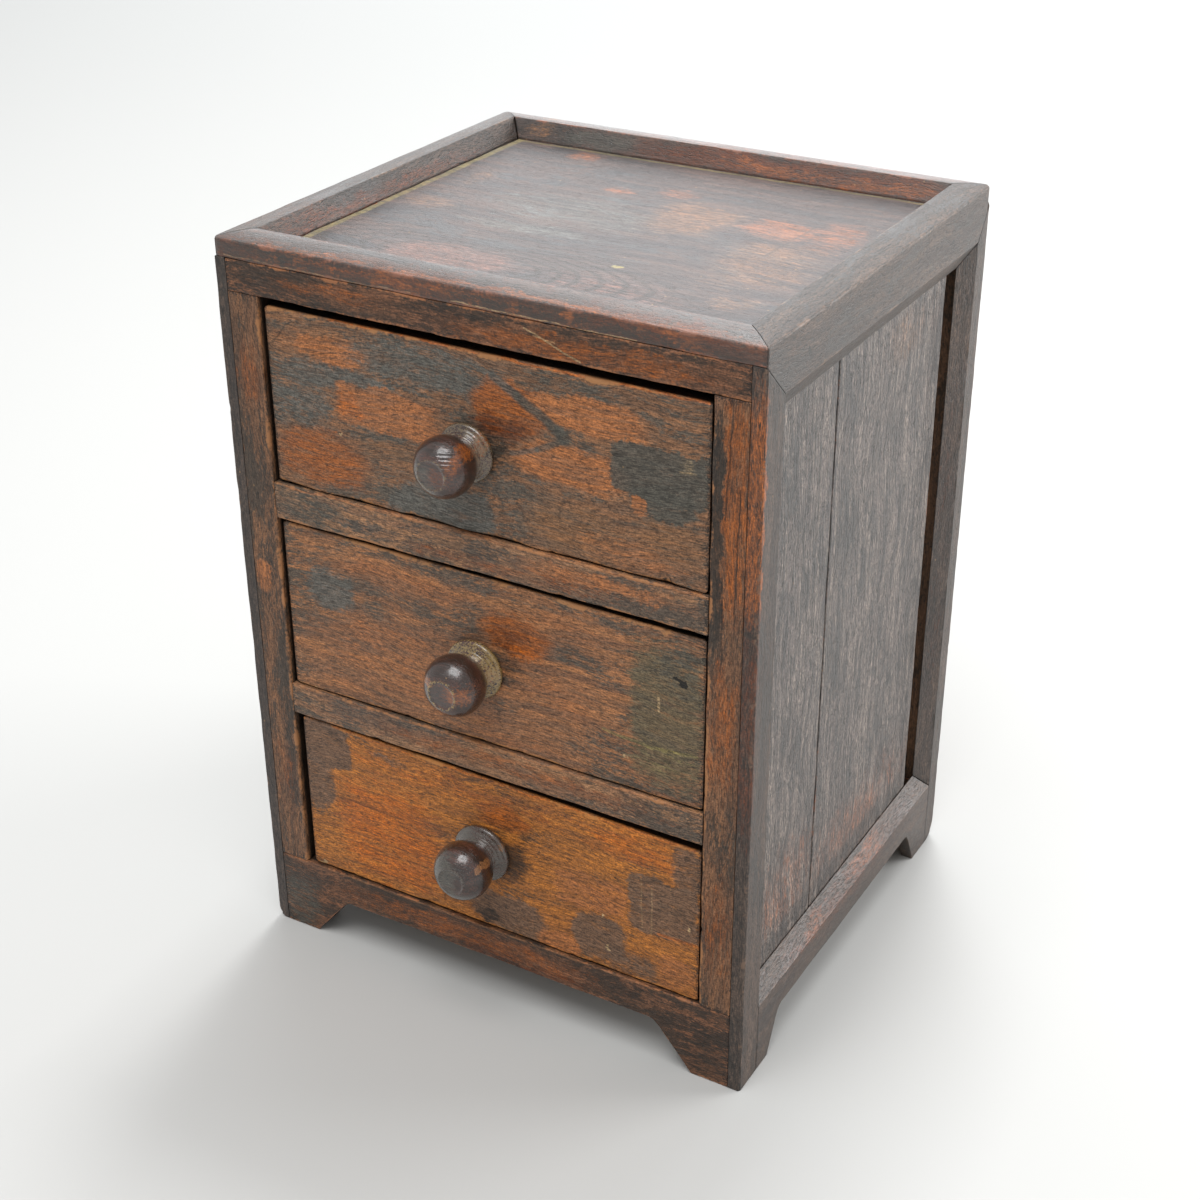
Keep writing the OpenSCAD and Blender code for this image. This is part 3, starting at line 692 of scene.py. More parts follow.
    def _stroke(self) -> Tree:
        """Builds the mask of a straight stroke: the distance to the nearest point of it, to an edge."""
        net, take, give = self._open(
            "stroke", {"Place": VECTOR, "From": VECTOR, "Way": VECTOR, "Plane": VECTOR, "Width": FLOAT})
        away = net.away(take["Place"], take["From"], take["Plane"])
        share = net.calc("DIVIDE", net.vector("DOT_PRODUCT", away, take["Way"]),
                         net.vector("DOT_PRODUCT", take["Way"], take["Way"]))
        near = net.vector("SCALE", take["Way"], net.calc("MINIMUM", net.calc("MAXIMUM", share, 0.0), 1.0))
        far = net.vector("LENGTH", net.vector("SUBTRACT", away, near))
        inner, outer = net.times(take["Width"], 0.3), net.times(take["Width"], 0.8)
        net.feed(give["Mask"], net.less(1.0, net.ease(far, inner, outer)))
        return net.tree

    def _rings(self) -> Tree:
        """Builds nested growth rings: fine lines at even steps of the distance from a centre."""
        net, take, give = self._open(
            "rings", {"Place": VECTOR, "Centre": VECTOR, "Pitch": VECTOR, "First": FLOAT, "Reach": FLOAT})
        away = net.vector("LENGTH", net.away(take["Place"], take["Centre"], take["Pitch"]))
        shake = net.times(net.noise(take["Place"], 0.035, 2.0), 1.5)
        wave = net.calc("SINE", net.times(net.plus(away, shake), 2 * math.pi))
        line = net.ease(wave, 0.1, 0.95)
        fade = net.less(1.0, net.ease(away, net.times(take["Reach"], 0.6), take["Reach"]))
        inner = net.ease(away, net.less(take["First"], 0.5), take["First"])
        net.feed(give["Mask"], net.times(net.times(line, fade), inner))
        return net.tree


# ---------------------------------------------------------------- finishes

PORE = (0.012, 0.009, 0.007)  # dirt in a pore
FLECK = (0.014, 0.012, 0.01)  # dirt in a short crack
SPECK = "b08a5a"  # bare wood in a nick
GAP_SHADE = (0.006, 0.005, 0.004)  # painted black shade, with some dirt, between the fronts and the frame
GAP_SHADE_FROM = (1.3, 2.3)  # mm behind the front frame's face where that painted shade begins and is full
GAP_SHADE_TO = (9.4, 9.8)  # mm behind it where the painted shade ends
MARKED = 0.92  # share of a mark's tone in the colour under it
COAT_ROUGH = 0.12  # roughness of a coat of wax


class Face(Enum):
    """Plane that a patch is drawn on; the value gives the axes of its two places."""

    FRONT = (0, 2)
    TOP = (0, 1)
    SIDE = (1, 2)

    def spot(self, first: float, second: float, third: float = 0.0) -> list[float]:
        """Puts two values on the plane's axes and one across it."""
        values = [third] * 3
        values[self.value[0]], values[self.value[1]] = first, second
        return values


class Tone(Enum):
    """Colours of the stain, the wood that shows through it, dirt and dust, and of some painted shade and a
    painted highlight.
    """

    BRIGHT = "ca6b1c"
    ORANGE = "b4703f"
    AMBER = "946640"
    RUST = "a45a22"
    RED = "66300e"
    GREY = "62605a"
    SLATE = "535048"
    UMBER = "745a48"
    DARK = "332a23"
    OLIVE = "6c5f47"
    TAN = "c0a176"
    DUST = "9a8b50"
    PINK = "93604c"
    BLACK = "060504"


@dataclass(frozen=True)
class Patch:
    """A place of another tone; deep limits one on the front to that depth behind it, in mm."""

    tone: Tone
    u: float
    v: float
    half_u: float
    half_v: float
    strength: float = 0.7
    edge: float = 0.4
    square: float = 0.2
    face: Face = Face.FRONT
    deep: float = 0.0

    def cover(self, net: Net, shop: Workshop, place: Feed, body: Feed) -> Socket:
        """Gives the patch's cover: whole where it is strong, broken up by the body where it is weak."""
        pitch = self.face.spot(1 / self.half_u, 1 / self.half_v, 1 / self.deep if self.deep else 0.0)
        mask = net.use(shop.patch, Place=place, Centre=self.face.spot(self.u, self.v), Pitch=pitch,
                       Square=self.square, Edge=self.edge).outputs["Mask"]
        full = net.plus(net.times(mask, self.strength), net.times(body, 0.75))
        return net.times(net.ease(full, 0.15, 0.85), net.ease(mask, 0.0, 0.35))


@dataclass(frozen=True)
class Stroke:
    """A straight line of another tone, such as a scratch, a crack or a line of dust."""

    tone: Tone
    u: float
    v: float
    to_u: float
    to_v: float
    width: float
    strength: float = 0.7
    face: Face = Face.FRONT

    def cover(self, net: Net, shop: Workshop, place: Feed, body: Feed) -> Socket:
        """Gives the stroke's cover, a little thinned by the body."""
        way = self.face.spot(self.to_u - self.u, self.to_v - self.v)
        mask = net.use(shop.stroke, Place=place, From=self.face.spot(self.u, self.v), Way=way,
                       Plane=self.face.spot(1.0, 1.0), Width=self.width).outputs["Mask"]
        return net.times(mask, net.plus(self.strength, net.times(body, 0.4)))


@dataclass(frozen=True)
class Rings:
    """Nested growth rings round a place: one line a step, from the first to the last that is counted."""

    tone: Tone
    u: float
    v: float
    step_u: float
    step_v: float
    first: float
    reach: float
    strength: float = 0.5
    face: Face = Face.TOP

    def cover(self, net: Net, shop: Workshop, place: Feed, body: Feed) -> Socket:
        """Gives the cover of the lines."""
        mask = net.use(shop.rings, Place=place, Centre=self.face.spot(self.u, self.v),
                       Pitch=self.face.spot(1 / self.step_u, 1 / self.step_v), First=self.first,
                       Reach=self.reach).outputs["Mask"]
        return net.times(mask, self.strength)


Mark = Patch | Stroke | Rings


@dataclass(frozen=True)
class Finish:
    """A stained, waxed and worn wood."""

    base: str
    light: str
    dark: str
    worn: str = "9a5426"
    seam: str | Colour = (0.01, 0.008, 0.007)
    cloud: float = 0.35
    band: float = 0.4
    fibre: float = 0.6
    pore: float = 0.5
    fleck: float = 0.5
    speck: float = 0.35
    rub: float = 0.8
    dirt: float = 0.7
    # gap: strength of the painted shade in the gaps between the fronts and the frame
    gap: float = 0.0
    rough: Span = (0.36, 0.56)
    bump: float = 0.5
    depth: float = 0.12
    level: float = 0.5
    coat: float = 0.0
    grains: float = 0.7

    def material(self, shop: Workshop, name: str, grain: Run, seed: float,
                 marks: Iterable[Mark] = ()) -> bpy.types.Material:
        """Builds the material of one piece.

        The stain goes between its base and its light tone by streaks. Then come broken clouds of dark
        lacquer, the marks, bands, fine fibres and grit, pores, flecks, specks, the rubbed arrises, dirt at
        the joints and the painted black shade, with some dirt, between the fronts and the frame.

        Args:
            shop: Shared groups.
            name: Name of the material.
            grain: Way the fibres run.
            seed: Shift of the figure, one for each piece.
            marks: Patches, strokes and rings on this piece.

        Returns:
            The material.
        """
        material = bpy.data.materials.new(name)
        material.use_nodes = True
        net = Net(material.node_tree)
        place = net.fill(net.add("Mapping"), Vector=net.add("TexCoord").outputs["Object"],
                         Location=(0.0, -FRONT_Y, 0.0), Scale=(1 / MM,) * 3).outputs[0]
        wood = net.use(shop.grain, Place=place, Along=grain.fibres, Seed=seed).outputs
        lacquer = net.ease(net.plus(net.plus(wood["Cloud"], wood["Break"]), self.cloud), 0.32, 0.62)
        ragged, shaken = (net.use(shop.ragged, Place=place, Wide=wide, Fine=fine).outputs["Place"]
                          for wide, fine in ((6.0, 3.0), (1.6, 0.5)))
        covers = []
        for mark in marks:
            at = ragged if isinstance(mark, Patch) else shaken
            covers.append((mark.cover(net, shop, at, wood["Break"]), MARKED, mark.tone.value))
        colour = net.layers(self.base, (wood["Streak"], 0.9, self.light), (lacquer, 0.85, self.dark), *covers,
                            (wood["Band"], self.band, self.dark))
        for field, up, down in ((wood["Fibre"], 0.4, 0.7), (wood["Grit"], 0.3, 0.4)):
            fine = net.mix(field, (1 + up * self.fibre,) * 3, (1 - down * self.fibre,) * 3)
            colour = net.mix(1.0, colour, fine, "MULTIPLY")
        smooth = net.plus(net.times(wood["Fibre"], 0.5), net.times(lacquer, 0.5))
        shine = net.fill(net.add("MapRange"), Value=smooth, To_Min=self.rough[1], To_Max=self.rough[0])
        net.fill(material.node_tree.nodes["Principled BSDF"], Roughness=shine.outputs[0],
                 Base_Color=self._aged(net, shop, place, wood, colour), Normal=self._relief(net, wood),
                 Specular_IOR_Level=self.level, Coat_Weight=self.coat, Coat_Roughness=COAT_ROUGH)
        return material

    def _aged(self, net: Net, shop: Workshop, place: Socket, wood: bpy.types.NodeOutputs,
              colour: Socket) -> Socket:
        """Lays pores, flecks, specks, rubbed arrises, dirt and the painted shade of the gaps over the stained
        wood.

        Args:
            net: Nodes of the material.
            shop: Shared groups.
            place: Place in mm.
            wood: Fields of the grain.
            colour: Colour of the stained wood.

        Returns:
            The colour with its age.
        """
        arris, joint = (net.add("Attribute", attribute_name=label).outputs["Fac"]
                        for label in ("arris", "joint"))
        rubbed = net.use(shop.edge, Arris=arris, Place=place, Amount=self.rub).outputs["Mask"]
        laid = net.plus(net.times(net.calc("POWER", joint, 2.0), 0.75),
                        net.times(net.plus(wood["Break"], net.less(wood["Grit"], 0.5)), self.grains))
        laid = net.times(net.ease(laid, 0.3, 0.75), net.ease(joint, 0.0, 0.5))
        colour = net.layers(
            colour, (wood["Pore"], self.pore, PORE), (wood["Fleck"], self.fleck, FLECK),
            (wood["Speck"], self.speck, SPECK), (rubbed, 0.85, self.worn), (laid, self.dirt, self.seam))
        if not self.gap:
            return colour
        # painted shade: darkens what lies 1.3 to 9.8 mm behind the front frame's face, in the gaps round the
        # drawers
        y = net.fill(net.add("SeparateXYZ"), Vector=place).outputs[1]
        behind = net.less(net.ease(y, *GAP_SHADE_FROM), net.ease(y, *GAP_SHADE_TO))
        return net.layers(colour, (behind, self.gap, GAP_SHADE))

    def _relief(self, net: Net, wood: bpy.types.NodeOutputs) -> Socket:
        """Raises the bands, and sinks fibres, pores and flecks a little."""
        sunk = net.plus(wood["Pore"], net.times(wood["Fleck"], 0.7))
        height = net.plus(net.less(net.times(wood["Fibre"], -0.3), sunk), net.times(wood["Band"], 0.35))
        bump = net.fill(net.add("Bump"), Height=height, Strength=self.bump, Distance=self.depth * MM)
        return bump.outputs[0]


LACQUER = "332c27"
TOP_FRAME = Finish("463933", "62493e", LACQUER, worn="80503a", rub=0.45,
                   rough=(0.34, 0.5), level=0.85)
TOP_PANEL = Finish("453b39", "5f4a42", "2c2b2d", cloud=0.3, rub=0.1,
                   speck=0.5, fleck=0.3, rough=(0.36, 0.5), level=0.55)
SIDE_FRAME = Finish("443933", "5b4a3f", LACQUER, worn="6e5645", rub=0.2, pore=0.9,
                    fibre=1.0, level=0.55, depth=0.2)
SIDE_BOARD = Finish("625650", "82746a", "282422", cloud=0.3, rub=0.0, pore=1.0,
                    fibre=1.3, band=0.8, bump=0.9, level=0.95, depth=0.4)
# gap sets how far painted shade darkens the faces in the gaps round the drawers
FRONT_FRAME = Finish("86624a", "a67a56", "524b43", worn="a27048", cloud=0.4,
                     rub=0.5, fibre=0.8, level=0.35, gap=0.85)
STILE = replace(FRONT_FRAME, base="70503b", light="8e6446", dark="443c34")
FRONT_DARK = Finish("694935", "885b40", "382f28", worn="9c6743",
                    cloud=0.5, rub=0.5, fibre=0.8, level=0.35, gap=0.85)
UPPER_FRONT = Finish("7c5a42", "9a6c4a", "56524a", worn="a8764a",
                     cloud=0.4, rub=0.5, fibre=0.8, level=0.35, gap=0.95)
MIDDLE_FRONT = Finish("845c42", "b2784c", "554f46", worn="a8764a",
                      cloud=0.4, rub=0.5, fibre=0.8, level=0.35, gap=0.95)
LOWER_FRONT = Finish("a86830", "c47a32", "5c4634", worn="b87c42",
                     cloud=0.2, rub=0.5, fibre=0.8, level=0.35, gap=0.95)
KNOB_WOOD = Finish("32221b", "52332a", "261d1a", cloud=0.35, band=0.3, fibre=0.6,
                   rub=0.0, rough=(0.12, 0.26), bump=0.5, speck=0.4, level=0.6, coat=0.7, grains=1.5)
KNOB_DUST = {"upper": ("75654d", 0.65), "middle": ("957c4c", 0.8), "lower": ("564e46", 0.75)}
DRAWER_WOOD = Finish("b39468", "c4a67a", "8c6e4c", cloud=0.0,
                     band=0.3, fibre=0.3, pore=0.3, fleck=0.15, speck=0.0, rough=(0.6, 0.75), dirt=0.0)
INNER_WOOD = Finish("967a56", "a88b64", "6a5239", cloud=0.1,
                    band=0.3, fibre=0.3, pore=0.3, fleck=0.2, speck=0.0, rough=(0.65, 0.8), dirt=0.0)
BACK_WOOD = Finish("644a37", "7a5a42", "3a3028", rub=0.4, rough=(0.5, 0.65))


# ---------------------------------------------------------------- marks of wear, painted shade and a painted highlight

BRIGHT, ORANGE, AMBER, RUST, RED, GREY, SLATE, UMBER, DARK, OLIVE, TAN, DUST, PINK, BLACK = Tone


def on(face: Face, *marks: Mark) -> tuple[Mark, ...]:
    """Lays marks on a face."""
    return tuple(replace(mark, face=face) for mark in marks)


TOP_MARKS: dict[str, tuple[Mark, ...]] = {
    "top_panel": on(
        Face.TOP,
        Patch(RUST, -45, 138, 7, 5, 0.55, 0.6),
        Patch(RUST, -16, 111, 6, 4, 0.45, 0.6),
        Patch(RUST, 2, 116, 8, 5, 0.4, 0.6),
        Patch(AMBER, 18, 95, 14, 17, 0.5, 0.6, 0.4),
        Patch(RUST, 46, 99, 13, 9, 0.55, 0.5),
        Patch(RUST, 64, 100, 8, 14, 0.45, 0.6, 0.5),
        Patch(AMBER, 56, 70, 16, 24, 0.45, 0.7),
        Patch(AMBER, -62, 72, 8, 5, 0.45, 0.6),
        Patch(AMBER, -63, 100, 4, 10, 0.35, 0.6),
        Patch(GREY, -18, 85, 30, 16, 0.5, 0.6),
        Patch(GREY, -20, 64, 24, 4, 0.6, 0.6),
        Patch(PINK, -27, 32, 24, 9, 0.45, 0.4),
        Patch(PINK, 25, 30, 22, 8, 0.35, 0.6),
        Patch(AMBER, 62, 36, 8, 5, 0.4, 0.5),
        Rings(DARK, -25, 30, 7.4, 2.6, 3.6, 12.0, 0.75),
        Patch(DUST, 19.5, 46.5, 1.9, 1.1, 0.8, 0.3),
        Stroke(DARK, 52, 76, 54, 108, 0.9, 0.5),
        Stroke(DARK, 42, 77, 75, 74, 0.7, 0.5),
        Stroke(DUST, -74.6, 14, -74.6, 146, 2.2, 0.5),
        Stroke(DUST, -76, 144.8, 76, 144.8, 1.4, 0.4),
        Stroke(TAN, 74.6, 14, 74.6, 146, 1.4, 0.35),
    ),
    "top_front_rail": (
        Patch(RED, 0, 243.6, 92, 3.0, 0.85, 0.4, 0.9),
        Patch(RUST, -20, 243.8, 60, 1.8, 0.45, 0.5, 0.8),
        Patch(DARK, 30, 242.9, 60, 1.4, 0.6, 0.4, 0.8),
        Patch(DARK, -50, 243.2, 24, 1.2, 0.6, 0.4, 0.8),
        Patch(DARK, -66, 244.5, 16, 2.6, 0.6, 0.5, 0.6),
        Patch(DARK, 22, 243.6, 22, 1.6, 0.6, 0.5, 0.6),
        Patch(DARK, -16, 245.6, 70, 0.9, 0.6, 0.5, 0.9),
        Stroke(DARK, -84, 241.9, 86, 241.7, 0.8, 0.6),
        Stroke(TAN, -86, 241.5, -20, 241.2, 0.3, 0.35),
        Stroke(TAN, -6, 241.6, 52, 240.9, 0.35, 0.6),
        Patch(RUST, 0, 1.6, 84, 1.2, 0.45, 0.5, 0.8, Face.TOP),
    ),
    "top_rear_rail": (
        Patch(RUST, 0, 152, 84, 2.5, 0.3, 0.6, 0.8, Face.TOP),
        Patch(RED, 26, 244.2, 60, 3.4, 0.75, 0.5, 0.7),
        Patch(RUST, 40, 243.6, 40, 1.8, 0.5, 0.5, 0.7),
        Patch(SLATE, -44, 244.6, 14, 3.0, 0.6, 0.4, 0.5),
        Patch(AMBER, -68, 245.0, 6, 3.0, 0.5, 0.5),
    ),
}
SIDE_MARKS: dict[str, tuple[Mark, ...]] = {
    "left_top_rail": on(
        Face.SIDE,
        Patch(RED, 60, 243.0, 60, 2.4, 0.55, 0.6, 0.8),
        Patch(RED, 26, 245.0, 22, 3.0, 0.4, 0.6, 0.6),
    ),
    "right_top_rail": on(
        Face.SIDE,
        Patch(BLACK, 26, 236.3, 1.0, 1.5, 0.9, 0.35),
        Patch(BLACK, 79.5, 237, 0.7, 0.6, 0.9, 0.3),
        Patch(BLACK, 129, 236, 1.4, 0.9, 0.95, 0.3),
        Stroke(DARK, 30, 226.5, 52, 225, 0.5, 0.5),
    ),
    "right_front_post": (
        Patch(RUST, 88, 200, 4.5, 34, 0.75, 0.4, 0.8, deep=1.6),
        Patch(RED, 88, 130, 4.5, 40, 0.5, 0.5, 0.8, deep=1.6),
        Stroke(DARK, 5.5, 170, 6.5, 118, 0.6, 0.6, Face.SIDE),
        Stroke(DARK, -3, 165, 3.5, 160, 1.0, 0.8, Face.SIDE),
    ),
    "right_rear_board": on(
        Face.SIDE,
        Stroke(DARK, 68, 216, 74, 165, 0.9, 0.5),
        Stroke(DARK, 74, 165, 82, 136, 1.1, 0.65),
        Stroke(DARK, 90, 218, 88.5, 165, 0.9, 0.45),
        Stroke(DARK, 88.5, 165, 84, 137, 1.0, 0.5),
        Stroke(DARK, 79, 205, 82, 168, 0.7, 0.35),
        Patch(DARK, 83, 165, 2.2, 2.6, 0.55, 0.5),
        Stroke(DARK, 66, 100, 74, 80, 0.9, 0.35),
        Stroke(DARK, 74, 80, 82, 76, 0.9, 0.35),
        Stroke(DARK, 82, 76, 93, 96, 0.9, 0.35),
        Patch(AMBER, 108, 213, 20, 9, 0.35, 0.6),
        Patch(RED, 130, 190, 5, 40, 0.25, 0.6, 0.6),
        Patch(RUST, 95, 46, 44, 14, 0.4, 0.8),
        # painted shade: a soft dark band along the board's foot, above the bottom rail's ledge
        Patch(DARK, 95, 37, 46, 4, 0.6, 0.7, 0.6),
        # painted shade: a soft dark strip along the board's edge beside the open gap to the rear post
        Patch(DARK, 130, 130, 5, 100, 0.4, 0.6, 0.8),
    ),
    "right_front_board": on(
        Face.SIDE,
        Stroke(DARK, 47.2, 230, 47.2, 140, 0.9, 0.8),
        Patch(DARK, 38, 205, 10, 30, 0.35, 0.7, 0.4),
        Patch(RUST, 36, 52, 26, 18, 0.4, 0.8),
        # painted shade: a soft dark band along the board's foot, above the bottom rail's ledge
        Patch(DARK, 40, 37, 26, 4, 0.6, 0.7, 0.6),
        Patch(BLACK, 17.5, 103, 0.8, 0.7, 0.9, 0.3),
    ),
    "right_bottom_rail": on(
        Face.SIDE,
        Patch(RUST, 97, 29, 14, 3.5, 0.45, 0.6),
        Patch(RUST, 55, 27, 8, 4, 0.45, 0.6),
        Patch(RED, 84, 27, 62, 5, 0.45, 0.7, 0.7),
        Patch(DARK, 120, 25, 13, 4.5, 0.4, 0.5),
    ),
    "right_rear_post": on(
        Face.SIDE,
        Patch(RED, 148, 130, 3, 70, 0.2, 0.6, 0.8),
    ),
}
FRONT_MARKS: dict[str, tuple[Mark, ...]] = {
    "front_top_rail": (
        Patch(RUST, 32, 234.5, 44, 3.5, 0.55, 0.5, 0.5),
        Patch(RUST, -48, 236.0, 20, 2.5, 0.4, 0.5, 0.5),
        Patch(DARK, -6, 237, 22, 3, 0.4, 0.5, 0.5),
        Stroke(TAN, 17, 238.3, 34.7, 231.7, 0.45, 0.8),
        Stroke(TAN, 20, 236.4, 27, 235.6, 0.35, 0.5),
        Stroke(BLACK, -72, 230.6, -30, 230.4, 1.2, 0.6),
    ),
    "left_stile": (
        Patch(ORANGE, -82, 137, 3, 5.5, 0.75, 0.3, 0.4),
        Patch(RUST, -80, 205, 5, 12, 0.45, 0.6, 0.5),
        Patch(RUST, -81, 60, 4, 16, 0.4, 0.6, 0.5),
        Patch(DARK, -77, 130, 1.6, 90, 0.4, 0.5, 0.9),
    ),
    "right_stile": (
        Patch(RUST, 82, 198, 4, 33, 0.6, 0.4, 0.9),
        Patch(RUST, 80, 130, 5, 24, 0.5, 0.6, 0.6),
        Patch(RUST, 80, 60, 5, 22, 0.4, 0.6, 0.6),
        Patch(DARK, 76.5, 190, 2.0, 36, 0.75, 0.25, 0.9),
        Stroke(BLACK, 80.5, 226, 79.2, 196, 0.5, 0.7),
        Stroke(BLACK, 83.5, 205, 82.6, 168, 0.5, 0.7),
        Stroke(BLACK, 78.6, 178, 79.4, 152, 0.5, 0.6),
    ),
    "upper_mid_rail": (
        Patch(SLATE, -62, 165, 16, 6, 0.6, 0.5, 0.5),
        Patch(ORANGE, 42, 166, 28, 2.6, 0.6, 0.5, 0.4),
        Patch(RUST, 10, 162, 40, 2.4, 0.4, 0.5, 0.4),
        Stroke(ORANGE, -70, 170.4, 72, 170.5, 0.6, 0.5),
    ),
    "lower_mid_rail": (
        Patch(RUST, 4, 94, 60, 3.4, 0.4, 0.6, 0.5),
        Patch(ORANGE, 10, 96, 20, 1.6, 0.5, 0.5, 0.4),
        Stroke(ORANGE, -70, 98.6, 72, 98.7, 0.5, 0.4),
    ),
    "front_apron": (
        Patch(RUST, -10, 22, 50, 4, 0.5, 0.6, 0.5),
        Patch(RED, 10, 18, 30, 3, 0.4, 0.6, 0.5),
        Patch(SLATE, -80, 10, 9, 12, 0.6, 0.5, 0.5),
        Patch(DARK, 78, 12, 9, 12, 0.5, 0.5, 0.5),
        Stroke(AMBER, -70, 28.1, 70, 28.2, 0.5, 0.4),
    ),
}
KNOB_MARKS: dict[str, tuple[Mark, ...]] = {
    "upper": (
        Patch(SLATE, -9.0, 194.0, 7.0, 6.0, 0.6, 0.6),
        Patch(RUST, 3.4, 202.5, 2.0, 5.0, 0.55, 0.5),
        Patch(RED, -1.0, 196.0, 4.0, 3.0, 0.6, 0.6),
    ),
    "middle": (
        Patch(SLATE, -9.0, 121.0, 5.0, 4.0, 0.6, 0.6),
        Patch(ORANGE, -9.0, 127.5, 3.0, 1.6, 0.5, 0.6),
        Patch(ORANGE, -4.0, 119.0, 1.6, 2.4, 0.5, 0.5),
        # painted highlight: a pale crescent of rim light along the head's left silhouette
        Patch(TAN, -12.6, 125.0, 0.8, 5.0, 0.6, 0.6),
        Patch(RUST, 1.0, 126.0, 5.0, 4.0, 0.5, 0.6),
    ),
    "lower": (
        Patch(SLATE, -8.0, 57.0, 6.0, 9.0, 0.8, 0.6),
        Patch(SLATE, -2.0, 50.0, 8.0, 4.0, 0.8, 0.6),
        Patch(AMBER, 5.2, 63.5, 1.2, 1.6, 0.9, 0.4),
    ),
}
